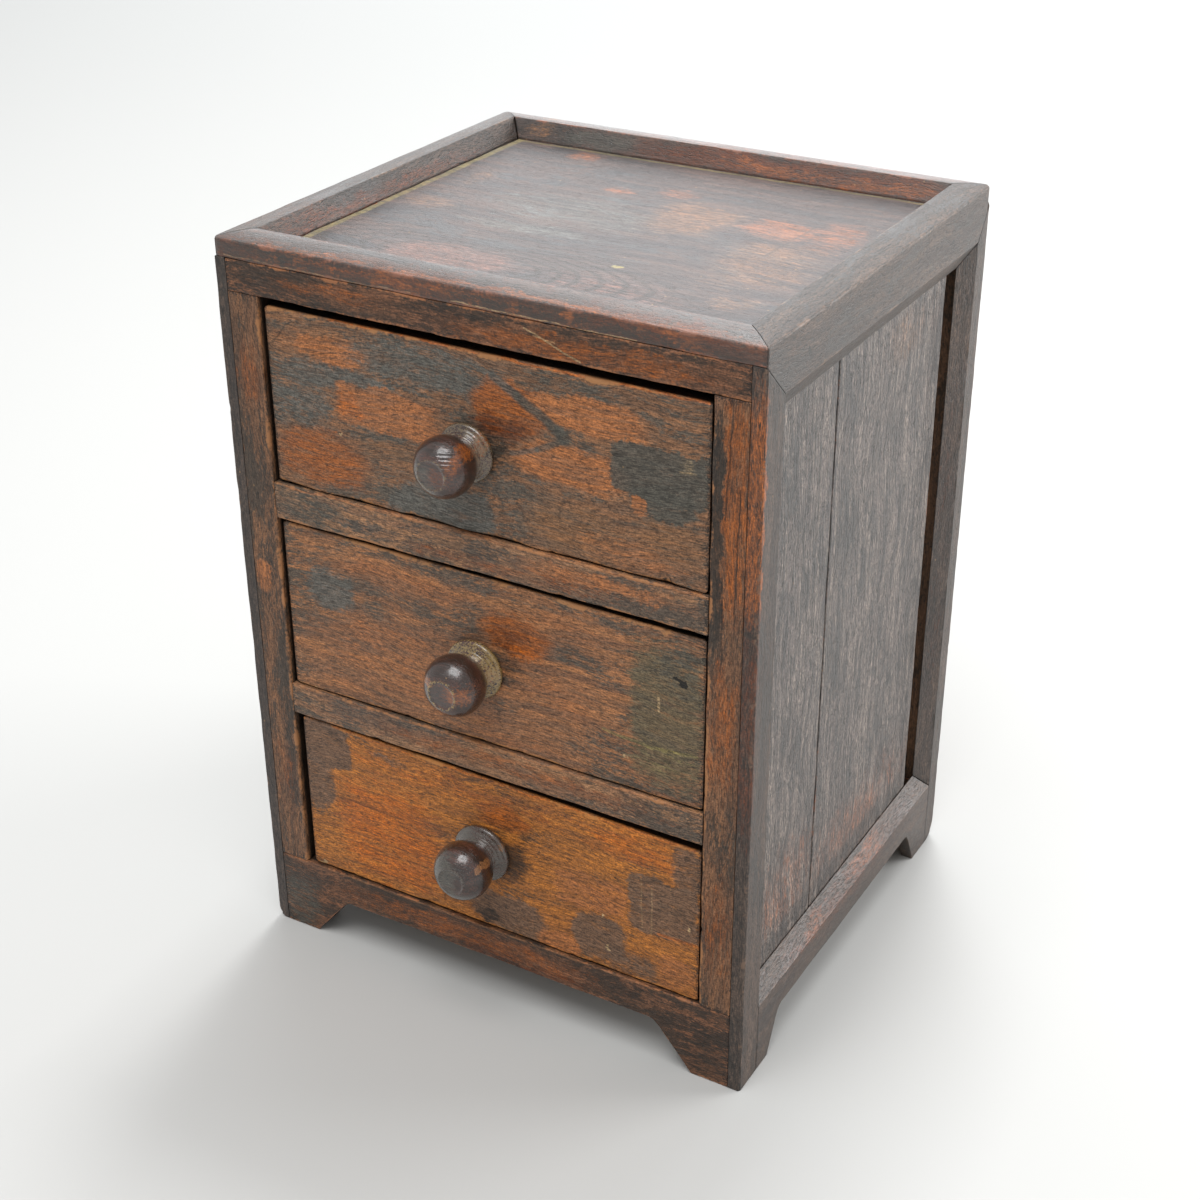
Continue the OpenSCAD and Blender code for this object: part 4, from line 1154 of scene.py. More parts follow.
DRAWER_MARKS: dict[str, tuple[Mark, ...]] = {
    "upper": (
        Patch(ORANGE, -49, 218, 14, 4.6, 0.85, 0.22, 0.0),
        Patch(ORANGE, -64, 219.5, 9, 3, 0.35),
        Patch(GREY, -50, 210, 22, 4, 0.8, 0.4, 0.4),
        Patch(GREY, -63, 200, 12, 8, 0.65, 0.4, 0.5),
        Patch(ORANGE, -31, 202.5, 18.5, 7.0, 0.75, 0.14, 0.9),
        Patch(BRIGHT, -44, 201.5, 5.5, 4.5, 0.5, 0.4, 0.6),
        Patch(RUST, -56, 183, 18, 9.5, 0.65, 0.4),
        Patch(AMBER, -30, 190, 14, 4, 0.4),
        Patch(GREY, -12, 176.5, 18, 7.5, 0.85, 0.16, 0.4),
        Patch(GREY, -26, 172.5, 8, 5, 0.8, 0.2, 0.3),
        Patch(GREY, -18, 219.5, 27, 7.5, 0.7, 0.5),
        Patch(RUST, 11, 213, 12, 8.5, 0.8, 0.25, 0.3),
        Patch(RED, 8, 206.5, 10, 5, 0.65, 0.5),
        Patch(ORANGE, 36, 215.8, 20, 5.2, 0.85, 0.3),
        Patch(ORANGE, 31, 199, 19, 6.4, 0.8, 0.3),
        Patch(AMBER, 33, 180, 18, 9, 0.6, 0.4),
        Patch(ORANGE, 50, 177, 18, 4.5, 0.5, 0.6),
        Patch(AMBER, 62, 184, 12, 7, 0.5, 0.5),
        Stroke(GREY, 6, 221.5, 14, 217.2, 2.4, 0.9),
        Stroke(SLATE, 14, 217.2, 27.5, 209.2, 3.0, 0.95),
        Stroke(SLATE, 27.5, 209.2, 29.6, 207.2, 3.4, 0.95),
        Stroke(SLATE, 28.5, 206.6, 20, 202.4, 1.8, 0.85),
        Stroke(GREY, 20, 202.4, 11.5, 199.6, 1.2, 0.7),
        Patch(SLATE, 58.5, 203.5, 15.5, 8.2, 0.92, 0.1, 0.8),
        Patch(SLATE, 60, 195, 11, 4.5, 0.85, 0.2, 0.5),
        Patch(ORANGE, 52.5, 193, 2.6, 2.6, 0.85, 0.25),
        Patch(TAN, 67, 208.5, 2.6, 3.6, 0.3, 0.6),
        Patch(BLACK, 62.1, 172.0, 1.5, 0.9, 1.0, 0.2, 0.9),
        Patch(TAN, -47.4, 191.7, 0.7, 0.5, 0.9, 0.3),
        Stroke(DARK, -72, 216, -66, 223, 0.5, 0.5),
        Stroke(BRIGHT, -50, 227.7, 73, 227.2, 0.6, 0.75),
        # painted shadow of the knob, falling to its right, with dust round the collar
        Patch(DARK, 3, 198, 9, 8, 0.5, 0.6),
    ),
    "middle": (
        Patch(ORANGE, -36, 122, 30, 16, 0.5, 0.7),
        Patch(ORANGE, -30, 148, 28, 5, 0.45, 0.6),
        Patch(ORANGE, -58, 110, 14, 9, 0.4, 0.7),
        Patch(RUST, 11, 140, 12, 7, 0.85, 0.4),
        Patch(RED, 9, 138, 7, 4.5, 0.55, 0.5),
        Patch(BRIGHT, 13, 135.5, 5, 2.4, 0.5, 0.5),
        Patch(GREY, -57, 138, 9, 7, 0.85, 0.35),
        Patch(SLATE, -40, 136, 5, 4, 0.5, 0.5),
        Patch(ORANGE, 24, 124, 15, 9, 0.45, 0.7),
        Patch(ORANGE, 0, 107, 34, 7, 0.4, 0.7),
        Patch(ORANGE, 28, 148, 16, 5, 0.4, 0.7),
        Patch(OLIVE, 62, 128, 12.5, 24, 0.85, 0.35, 0.7),
        Patch(SLATE, 66, 146, 9, 9, 0.5, 0.6),
        Patch(DUST, 60, 113, 10, 4, 0.3, 0.7),
        Stroke(DUST, 41, 117.4, 56, 116.2, 0.9, 0.5),
        Stroke(DUST, 56, 116.2, 72, 117.6, 0.9, 0.5),
        Patch(BLACK, 66.8, 140.8, 1.2, 1.0, 1.0, 0.2, 0.4),
        Stroke(TAN, 59, 133.7, 59.3, 129.6, 0.7, 0.9),
        Patch(TAN, 48.6, 110, 0.6, 0.5, 0.9, 0.3),
        Patch(TAN, -65.7, 99.9, 0.6, 0.5, 0.9, 0.3),
        # painted shadow of the knob, falling to its right, with dust round the collar
        Patch(DARK, 4, 128, 9, 7, 0.5, 0.6),
        Stroke(AMBER, -70, 157.4, 72, 156.2, 0.5, 0.5),
    ),
    "lower": (
        Patch(BRIGHT, -40, 50, 22, 21, 0.6, 0.4, 0.4),
        Patch(BRIGHT, -36, 50, 16, 3, 0.5, 0.4),
        Patch(BRIGHT, -20, 78, 50, 5, 0.35, 0.6, 0.5),
        Patch(BRIGHT, 52, 78, 20, 5.5, 0.5, 0.5, 0.5),
        Stroke(DARK, -66, 59.8, -34, 58.8, 0.9, 0.5),
        Stroke(DARK, -58, 47, -26, 46.6, 0.6, 0.45),
        Stroke(DARK, -68, 43.2, -30, 42.9, 0.6, 0.45),
        Stroke(DARK, -60, 34.6, -24, 34.2, 0.6, 0.45),
        Patch(UMBER, -66, 78.5, 12, 8.5, 0.9, 0.14, 0.6),
        Patch(UMBER, -68.5, 63, 7.5, 11, 0.8, 0.25, 0.1),
        Patch(DARK, -60, 82, 3, 2, 0.6, 0.3),
        Patch(UMBER, -38, 80.5, 8, 1.6, 0.6, 0.4),
        Patch(RUST, 4, 73, 10, 4.5, 0.9, 0.45),
        Patch(BRIGHT, 2, 74, 5, 2.4, 0.5, 0.5),
        # painted shadow of the knob, falling to its right, with dust round the collar
        Patch(DARK, 5, 57, 9, 8, 0.8, 0.5),
        Patch(ORANGE, 36, 56, 14, 7, 0.7, 0.25, 0.7),
        Patch(UMBER, 61.5, 59.5, 12, 10.5, 0.88, 0.1, 0.85),
        Patch(UMBER, 70, 76, 6, 8, 0.75, 0.25, 0.2),
        Stroke(TAN, 54, 68, 54.4, 50, 0.4, 0.3),
        Stroke(TAN, 57.5, 66, 57.8, 48, 0.4, 0.3),
        Stroke(BRIGHT, 60, 49.5, 73, 49.8, 1.0, 0.6),
        Patch(UMBER, 39, 40, 10, 8.5, 0.88, 0.2, 0.4),
        Patch(UMBER, 50, 34, 10, 5, 0.7, 0.4, 0.4),
        Patch(ORANGE, 66, 36, 7, 6, 0.7, 0.4),
        Patch(UMBER, 6, 36, 14, 7.5, 0.85, 0.22, 0.3),
        Patch(DARK, -2, 33, 4.5, 3, 0.7, 0.4),
        Patch(ORANGE, 24, 32, 8, 4.5, 0.85, 0.3),
        Patch(TAN, 40.9, 48.9, 0.8, 0.7, 0.95, 0.3),
        Patch(TAN, 43.4, 37, 0.7, 0.5, 0.8, 0.3),
        Patch(TAN, 70.7, 55, 0.6, 1.0, 0.8, 0.3),
        Patch(TAN, -68.8, 29.9, 1.2, 0.8, 0.9, 0.3),
        Stroke(BRIGHT, -60, 86.2, 72, 84.3, 0.6, 0.6),
    ),
}


# ---------------------------------------------------------------- the chest

class Sizes:
    """The chest's sizes in mm, with y from the front frame's face and x from the middle.

    Most are read from the frame. The rest are drivers of the construction that no box shows.
    """

    skin_x, face_x = span("right_front_post", "x")
    open_x = span("right_stile", "x")[0]
    board_x = span("right_front_board", "x")[0]
    bevel_x = 86.0
    depth = span("right_top_rail", "y")[1]
    frame_t = span("front_apron", "y")[1]
    strip_z, top_z = span("top_front_rail", "z")
    edge_z = 246.2
    groove_z, panel_z = span("top_panel", "z")
    strip_w = 9.6
    mitre_w = span("top_front_rail", "y")[1]
    groove_in = 9.0
    panel_play = 0.8
    top_rail_z = span("front_top_rail", "z")[0]
    upper_rail_z, upper_z = span("upper_mid_rail", "z")
    lower_rail_z, middle_z = span("lower_mid_rail", "z")
    lower_z = span("front_apron", "z")[1]
    opening_h = top_rail_z - upper_z
    bevel_run = 7.0
    window_top_z = span("right_top_rail", "z")[0] + bevel_run
    side_foot_h = span("right_bottom_rail", "z")[1] - bevel_run
    front_post_w = span("right_bottom_rail", "y")[0]
    rear_post_w = depth - span("right_bottom_rail", "y")[1]
    worn_r = 2.6
    crisp_r = 0.8
    left_foot_r = 4.0
    rear_foot_r = 7.0


S = Sizes


def crown(steps: int = 6) -> np.ndarray:
    """Gives the top frame's upper face as distance inwards and height: a parabola that levels off inwards."""
    t = np.linspace(0, 1, steps + 1)
    return np.stack([t * S.strip_w, S.edge_z + (S.top_z - S.edge_z) * (1 - (1 - t) ** 2)], -1)


def soften_plan(surface: Surface, radius: float, crisp: float) -> Surface:
    """Rounds the chest's four upright corners, the right front one crisply."""
    for side in (-1, 1):
        for y, sign in ((0.0, -1), (S.depth, 1)):
            r = crisp if side == 1 and sign == -1 else radius
            round_off(surface.points, (0, side * S.face_x, side), (1, y, sign), r)
    return surface


def hand_over(piece: bpy.types.Object, name: str, body: str) -> bpy.types.Object:
    """Rides a piece on its body and puts it in place of a CAD node.

    Args:
        piece: The piece.
        name: Name of the CAD node.
        body: Body that carries it.

    Returns:
        The piece.
    """
    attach(piece, body)
    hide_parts(name)
    LOG.info("%s: %d faces", piece.name, len(piece.data.polygons))
    return piece


def place_piece(name: str, surface: Surface, body: str) -> bpy.types.Object:
    """Makes a piece of a skin and hands it over in place of the CAD node of that name."""
    return hand_over(skin(name + "_worn", surface), name, body)


def dress(piece: bpy.types.Object, material: bpy.types.Material) -> None:
    """Gives a piece or a CAD node one material all over."""
    piece.data.materials.clear()
    piece.data.materials.append(material)


@dataclass
class TopFrame:
    """Mitred strips at the front and the rear, and the sunk panel."""

    shop: Workshop
    arris_r: float = 1.1
    inner_r: float = 0.5

    def strip(self, seed: int) -> Surface:
        """Carries the strip's profile across the chest, mitred at both ends."""
        def at(d: float, z: float, r: float = 0.0) -> Corner:
            """Sets a corner at a depth and a height, ending on the mitre."""
            return Corner(d, z, d - S.face_x, S.face_x - d, r)
        line = crown()
        corners = [at(0, S.strip_z, 0.3), at(0, S.edge_z, self.arris_r)]
        corners += [at(d, z) for d, z in line[1:-1]]
        corners += [at(S.strip_w, S.top_z, self.inner_r), at(S.mitre_w, S.panel_z), at(S.mitre_w, S.strip_z)]
        return carry(Run.ACROSS, corners, seed, worn=1.2)

    def build(self) -> None:
        """Builds and dresses the strips and the panel."""
        front = soften_plan(self.strip(11), S.worn_r, S.crisp_r)
        rear = soften_plan(flip(self.strip(12), 1, S.depth), S.worn_r, S.crisp_r)
        for name, surface, seed in (("top_front_rail", front, 1.0), ("top_rear_rail", rear, 2.0)):
            piece = place_piece(name, surface, "carcass")
            dress(piece, TOP_FRAME.material(self.shop, name, Run.ACROSS, seed, TOP_MARKS.get(name, ())))
        field, tongue, low = S.mitre_w + S.panel_play, span("top_panel", "x")[1], S.strip_z - 0.2
        raised, sunk, half = (field, S.depth - field), span("top_panel", "y"), S.face_x - field
        corners = [
            Corner(-tongue, S.groove_z, *sunk), Corner(tongue, S.groove_z, *sunk), Corner(tongue, low, *sunk),
            Corner(half, low, *raised), Corner(half, S.panel_z, *raised, 0.35),
            Corner(-half, S.panel_z, *raised, 0.35), Corner(-half, low, *raised), Corner(-tongue, low, *sunk)]
        surface = carry(Run.BACK, corners, 13, ripple=0.16, step=1.6)
        panel = place_piece("top_panel", surface, "carcass")
        dress(panel, TOP_PANEL.material(self.shop, "top_panel", Run.ACROSS, 3.0, TOP_MARKS["top_panel"]))


@dataclass
class SideFrame:
    """Posts, rails and boards of one side; the left side is the right one mirrored."""

    shop: Workshop
    left: bool

    def _finish(self, name: str, surface: Surface, plan_r: float, finish: Finish, grain: Run, slot: str,
                seed: float) -> None:
        """Mirrors, rounds, places and dresses one piece."""
        if self.left:
            flip(surface, 0, 0.0)
        soften_plan(surface, plan_r, S.crisp_r)
        if self.left and name == "front_post":
            round_off(surface.points, (0, -S.face_x, -1), (2, 0.0, -1), S.left_foot_r)
        full = ("left_" if self.left else "right_") + name
        piece = place_piece(full, surface, "carcass")
        dress(piece, finish.material(self.shop, full, grain, seed, SIDE_MARKS.get(full, ())))

    def top_rail(self) -> Surface:
        """Carries the deep top rail from front to back, mitred into the strips above and the posts below."""
        f, r, d = S.front_post_w, S.rear_post_w, S.depth
        inner = (S.frame_t, d - S.frame_t)
        low = (f + S.bevel_run, d - r - S.bevel_run)
        line = crown()
        corners = [Corner(S.face_x, S.window_top_z, f, d - r, 0.6), Corner(S.face_x, S.strip_z, 0, d),
                   Corner(S.face_x, S.edge_z, 0, d, 1.1)]
        corners += [Corner(S.face_x - w, z, w, d - w) for w, z in line[1:-1]]
        m = (S.mitre_w, d - S.mitre_w)
        corners += [
            Corner(S.face_x - S.strip_w, S.top_z, S.strip_w, d - S.strip_w, 0.5),
            Corner(S.face_x - S.mitre_w, S.panel_z, *m), Corner(S.face_x - S.mitre_w, S.strip_z, *m),
            Corner(S.face_x - S.groove_in, S.strip_z, *inner),
            Corner(S.face_x - S.groove_in, S.groove_z, *inner),
            Corner(S.face_x - S.mitre_w, S.groove_z, *inner),
            Corner(S.face_x - S.mitre_w, S.top_rail_z, *inner),
            Corner(S.skin_x, S.top_rail_z, *inner), Corner(S.skin_x, S.window_top_z - S.bevel_run, *low),
            Corner(S.bevel_x, S.window_top_z - S.bevel_run, *low, 0.15)]
        return carry(Run.BACK, corners, 21 + self.left, worn=1.1)

    def post(self, width: float, seed: int) -> Surface:
        """Carries a post's plan upwards, mitred where the bevels meet.

        Args:
            width: Width of its face beside the bevel.
            seed: Seed of its wear.

        Returns:
            The post.
        """
        top, bevel, tip = S.window_top_z, S.bevel_run, 0.05
        foot = S.side_foot_h
        corners = [
            Corner(S.skin_x, 0, 0, S.strip_z, 0.2), Corner(S.face_x, 0, 0, S.strip_z, S.crisp_r),
            Corner(S.face_x, width, 0, top), Corner(S.face_x - tip / 2, width + tip, foot, top - tip),
            Corner(S.bevel_x, width + bevel, foot + bevel, top - bevel),
            Corner(S.skin_x, width + bevel, foot + bevel, top - bevel),
            Corner(S.skin_x, width + tip, foot, top - tip), Corner(S.skin_x, width, 0, top)]
        return carry(Run.UP, corners, seed, worn=1.0)

    def bottom_rail(self) -> Surface:
        """Carries the bottom rail from post to post and lifts its underside to the arch between the feet."""
        f, e, b = S.front_post_w, S.depth - S.rear_post_w, S.bevel_run
        toe, run, high = 19.3, 7.5, 15.0
        corners = [
            Corner(S.skin_x, 0, f, e, 0.3), Corner(S.face_x, 0, f, e, 0.5),
            Corner(S.face_x, S.side_foot_h, f, e, 0.4),
            Corner(S.bevel_x, S.side_foot_h + b, f + b, e - b, 0.15),
            Corner(S.skin_x, S.side_foot_h + b, f + b, e - b)]
        kinks = (toe, toe + run, S.depth - toe - run, S.depth - toe)
        surface = carry(Run.BACK, corners, 41 + self.left, worn=0.9, kinks=kinks)
        lift(surface.points, 1, lambda y: arch_height(y, toe, S.depth - toe, run, high, 2.2), S.side_foot_h)
        return surface

    def board(self, name: str, seed: int) -> Surface:
        """Carries an upright board that fills its CAD node from front to back and upwards."""
        node = ("left_" if self.left else "right_") + name
        corners = block((S.board_x, S.skin_x), span(node, "y"), span(node, "z"), (0.3, 0.5, 0.5, 0.3))
        return carry(Run.UP, corners, seed, worn=0.8, ripple=0.12)

    def build(self) -> None:
        """Builds and dresses the whole side."""
        n = 100 * self.left
        rear = flip(self.post(S.rear_post_w, 33 + n), 1, S.depth)
        round_off(rear.points, (1, S.depth, 1), (2, 0.0, -1), S.rear_foot_r)
        for name, surface, plan_r, grain, figure in (
            ("top_rail", self.top_rail(), S.worn_r, Run.BACK, 4.0),
            ("front_post", self.post(S.front_post_w, 31 + n), S.crisp_r, Run.UP, 5.0),
            ("rear_post", rear, S.crisp_r, Run.UP, 6.0),
            ("bottom_rail", self.bottom_rail(), 0.0, Run.BACK, 7.0),
        ):
            self._finish(name, surface, plan_r, SIDE_FRAME, grain, "side_frame_wood", figure + n)
        for name, wear, figure in (("front_board", 51, 8.0), ("rear_board", 53, 9.0)):
            board = self.board(name, wear + n)
            self._finish(name, board, 0.0, SIDE_BOARD, Run.UP, "side_wood", figure + n)


@dataclass
class FaceFrame:
    """Rails, stiles and apron of the front, or of the back, which is the front turned round."""

    shop: Workshop
    back: bool

    def _finish(self, name: str, surface: Surface, grain: Run, seed: float) -> None:
        """Turns a piece to the back if it belongs there, places it and dresses it."""
        if self.back:
            flip(surface, 1, S.depth)
            round_off(surface.points, (1, S.depth, 1), (2, 0.0, -1), S.rear_foot_r)
        piece = place_piece(name, surface, "carcass")
        front = {Run.UP: STILE, Run.ACROSS: FRONT_FRAME if "mid_rail" in name else FRONT_DARK}
        finish = BACK_WOOD if self.back else front[grain]
        dress(piece, finish.material(self.shop, name, grain, seed, FRONT_MARKS.get(name, ())))

    def rail(self, half: float, low: float, high: float, seed: int) -> Surface:
        """Carries a rail across the chest between two heights."""
        corners = block((0, S.frame_t), (low, high), (-half, half), (0.55, 0.3, 0.3, 0.55))
        return carry(Run.ACROSS, corners, seed, worn=1.2)

    def stile(self, seed: int) -> Surface:
        """Carries the right-hand stile upwards."""
        tall = (S.lower_z, S.top_rail_z)
        corners = block((S.open_x, S.skin_x), (0, S.frame_t), tall, (0.7, 0.25, 0.2, 0.4))
        return carry(Run.UP, corners, seed, worn=1.2)

    def apron(self, seed: int) -> Surface:
        """Carries the apron across the chest and lifts its underside to the slanted arch."""
        toe, run, high = S.face_x - 17.2, 13.5, 16.5
        corners = block((0, S.frame_t), (0, S.lower_z), (-S.skin_x, S.skin_x), (0.5, 0.4, 0.3, 0.6))
        surface = carry(Run.ACROSS, corners, seed, worn=1.1, kinks=(-toe, run - toe, toe - run, toe))
        lift(surface.points, 0, lambda x: arch_height(x, -toe, toe, run, high, 2.0), S.lower_z)
        return surface

    def build(self) -> None:
        """Builds and dresses the frame."""
        n = 200 * self.back
        top = self.rail(S.skin_x, S.top_rail_z, S.strip_z, 61 + n)
        side = "back_" if self.back else "front_"
        stile = "back_" if self.back else ""
        self._finish(side + "top_rail", top, Run.ACROSS, 10.0 + n)
        self._finish(stile + "left_stile", flip(self.stile(62 + n), 0, 0.0), Run.UP, 11.0 + n)
        self._finish(stile + "right_stile", self.stile(63 + n), Run.UP, 12.0 + n)
        self._finish(side + "apron", self.apron(64 + n), Run.ACROSS, 13.0 + n)
        if self.back:
            return
        self._finish("upper_mid_rail", self.rail(S.open_x, S.upper_rail_z, S.upper_z, 65), Run.ACROSS, 14.0)
        self._finish("lower_mid_rail", self.rail(S.open_x, S.lower_rail_z, S.middle_z, 66), Run.ACROSS, 15.0)


@dataclass
class Inside:
    """Back boards, bottom board and runners."""

    shop: Workshop

    def build(self) -> None:
        """Builds the back boards and dresses the CAD nodes that stay."""
        wide, thick, tall = (span("back_right_board", axis) for axis in "xyz")
        for name, left, seed in (("back_left_board", True, 71), ("back_right_board", False, 72)):
            corners = block(wide, thick, tall, (0.3,) * 4)
            surface = carry(Run.UP, corners, seed, ripple=0.15, step=2.0)
            piece = place_piece(name, flip(surface, 0, 0.0) if left else surface, "carcass")
            dress(piece, BACK_WOOD.material(self.shop, name, Run.UP, float(seed)))
        bottom = "bottom_board"
        dress(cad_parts[bottom], INNER_WOOD.material(self.shop, bottom, Run.ACROSS, 16.0))
        for i, side in enumerate(("left", "right")):
            for j, level in enumerate(("upper", "middle", "lower")):
                name = f"{side}_{level}_runner"
                dress(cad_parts[name], INNER_WOOD.material(self.shop, name, Run.BACK, 17.0 + 3 * i + j))


@dataclass(frozen=True)
class Ridges:
    """Fine ridges on a knob's head: middle from its centre, way over them, reach, pitch and depth."""

    middle: tuple[float, float, float]
    over: tuple[float, float, float]
    reach: float
    pitch: float
    depth: float


KNOB_SIDES = 192


@dataclass
class Knob:
    """Turned knob: collar, cove, neck, round head with a flat turned on its front, and its tenon."""

    height: float
    collar_r: float
    head_r: float
    ridges: Ridges | None = None
    across: float = -3.2
    foot_y: float = 1.0
    head_out: float = 11.8
    head_front: float = 7.9
    disc_r: float = 4.6
    neck_r: float = 6.2
    collar_t: float = 2.0
    tenon_r: float = 3.5
    tenon_l: float = 9.0

    def profile(self) -> np.ndarray:
        """Works out radius and distance outwards.

        The head is a circle behind its widest place and a slightly flattened one in front of it, with a level
        disc sunk into its front. The neck bends in between the collar's shelf and the head by half a sine.

        Returns:
            One row a point, from the tenon's end to the pole.
        """
        rim, neck, collar = self.collar_r, self.neck_r, self.collar_t
        start = math.asin(neck / self.head_r)
        neck_out = self.head_out - math.sqrt(self.head_r**2 - neck**2)
        bead = np.linspace(-math.pi / 2, math.pi / 2, 9)
        t = np.linspace(0, 1, 40)[1:]
        back = np.linspace(start, math.pi / 2, 24)[1:]
        front = np.linspace(0, math.pi / 2, 60)[1:-1]
        reach = self.head_r * np.cos(front) ** 0.9
        out = self.head_out + self.head_front * np.sin(front)
        disc = np.interp(self.disc_r, reach[::-1], out[::-1])
        sunk = 0.3 * (1 - np.exp(-((self.disc_r - reach) / 0.4) ** 2))
        out = np.where(reach < self.disc_r, disc - sunk, out)
        rows = [
            np.array([[self.tenon_r, -self.tenon_l], [self.tenon_r, 0.0], [rim - 0.4, 0.0]]),
            np.stack([rim - collar / 2 + collar / 2 * np.cos(bead),
                      collar / 2 + collar / 2 * np.sin(bead)], -1)[1:],
            np.stack([(rim - collar / 2) * (1 - t) + neck * t - 0.6 * np.sin(math.pi * t),
                      collar * (1 - t) + neck_out * t], -1),
            np.stack([self.head_r * np.sin(back), self.head_out - self.head_r * np.cos(back)], -1),
            np.stack([reach, out], -1)]
        return np.concatenate(rows)

    def surface(self, seed: int) -> Surface:
        """Turns the profile round the knob's axis.

        A point is the axis plus its radius at an angle round it. Ridges are a sine of the way over them,
        under a bell curve of the distance from their middle, and sink the head towards its centre. The cove
        has shallow turned ribs at even steps.

        Args:
            seed: Seed of the sway of the turned surface.

        Returns:
            The knob's skin.
        """
        line = self.profile()
        angle = np.linspace(0, 2 * np.pi, KNOB_SIDES, endpoint=False)
        radius, out = line[:, :1], line[:, 1:]
        sway = 0.05 * wander(seed, angle * 9, 9, 28).T * (out > 4)
        cove = (out > 1.9) & (out < 5.2) & (radius > 5)
        ribs = 0.12 * (0.5 - 0.5 * np.cos(2 * np.pi * out / 0.62)) * cove
        radius = radius - np.abs(sway) - ribs
        points = np.stack([self.across + radius * np.cos(angle), self.foot_y - out + 0 * angle,
                           self.height + radius * np.sin(angle)], -1)
        if self.ridges:
            centre = np.array([self.across, self.foot_y - self.head_out, self.height])
            away = points - centre
            near = np.exp(-((np.linalg.norm(away - self.ridges.middle, axis=-1) / self.ridges.reach) ** 4))
            wave = 0.5 - 0.5 * np.cos(2 * np.pi * (away @ np.array(self.ridges.over)) / self.ridges.pitch)
            points -= (self.ridges.depth * near * wave)[..., None] * away / (
                np.linalg.norm(away, axis=-1, keepdims=True) + 1e-9)
        flat = np.zeros(points.shape[:2])
        ring = 0.85 * np.exp(-(((radius - self.disc_r - 0.1) / 0.5) ** 2)) * (out > self.head_out)
        dust = np.maximum(np.maximum((9.6 - out) / 5.0, 0).clip(0, 1), ring)
        return Surface(points, flat, dust)


@dataclass
class Drawer:
    """Front, box and knob of one drawer."""

    shop: Workshop
    name: str
    fall: float
    finish: Finish
    knob: Knob
    seed: int
    arris_r: float = 0.7
    corner_r: float = 1.3

    def front(self) -> bpy.types.Object:
        """Makes the worn front and cuts it with the CAD node, which keeps its sockets, groove and bore.

        Returns:
            The front.
        """
        body = self.name + "_drawer"
        node = body + "_front"
        (left, right), (near, far), (low, high) = (span(node, axis) for axis in "xyz")
        corners = block((near, far), (low, high), (left, right), (0.8, 0.3, 0.3, 0.9))
        surface = carry(Run.ACROSS, corners, self.seed, worn=1.3, ripple=0.1, ease=0.12)
        for x, sign in ((left, -1), (right, 1)):
            round_off(surface.points, (0, x, sign), (1, near, -1), self.arris_r)
            for z, up in ((low, -1), (high, 1)):
                round_off(surface.points, (0, x, sign), (2, z, up), self.corner_r)
        x, z = surface.points[..., 0], surface.points[..., 2]
        surface.points[..., 2] = z - self.fall * (x - left) / (right - left) * (z - low) / (high - low)
        piece = skin(node + "_worn", surface)
        cutter = stand("cutter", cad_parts[node].data.copy())
        weld = cutter.modifiers.new("weld", "WELD")
        weld.merge_threshold = 0.00001
        cut = piece.modifiers.new("cut", "BOOLEAN")
        cut.operation, cut.solver, cut.object = "INTERSECT", "MANIFOLD", cutter
        bpy.context.view_layer.update()
        whole = bpy.data.meshes.new_from_object(piece.evaluated_get(bpy.context.evaluated_depsgraph_get()))
        piece.modifiers.clear()
        bpy.data.objects.remove(cutter)
        whole.set_sharp_from_angle(angle=SHARP)
        piece.data = whole
        return hand_over(piece, node, body)

    def build(self) -> None:
        """Builds and dresses the drawer."""
        body = self.name + "_drawer"
        dress(self.front(), self.finish.material(self.shop, body + "_front", Run.ACROSS, self.seed * 0.37,
                                                 DRAWER_MARKS[self.name]))
        piece = place_piece(body + "_knob", self.knob.surface(self.seed), body)
        dust, dirt = KNOB_DUST[self.name]
        dress(piece, replace(KNOB_WOOD, seam=dust, dirt=dirt).material(
            self.shop, body + "_knob", Run.ACROSS, self.seed * 0.71, KNOB_MARKS[self.name]))
        for part, grain in (("left_side", Run.BACK), ("right_side", Run.BACK), ("back", Run.ACROSS),
                            ("bottom", Run.ACROSS)):
            name = f"{body}_{part}"
            figure = self.seed * 0.53 + len(part)
            dress(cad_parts[name], DRAWER_WOOD.material(self.shop, name, grain, figure))


def facing(side: np.ndarray, up: np.ndarray, back: np.ndarray, place: Colour) -> Matrix:
    """Builds the matrix of a lamp or camera from its own three directions and its place."""
    rows = np.stack([side, up, back], -1).tolist()
    return Matrix([(*row, p) for row, p in zip(rows, place)] + [(0, 0, 0, 1)])


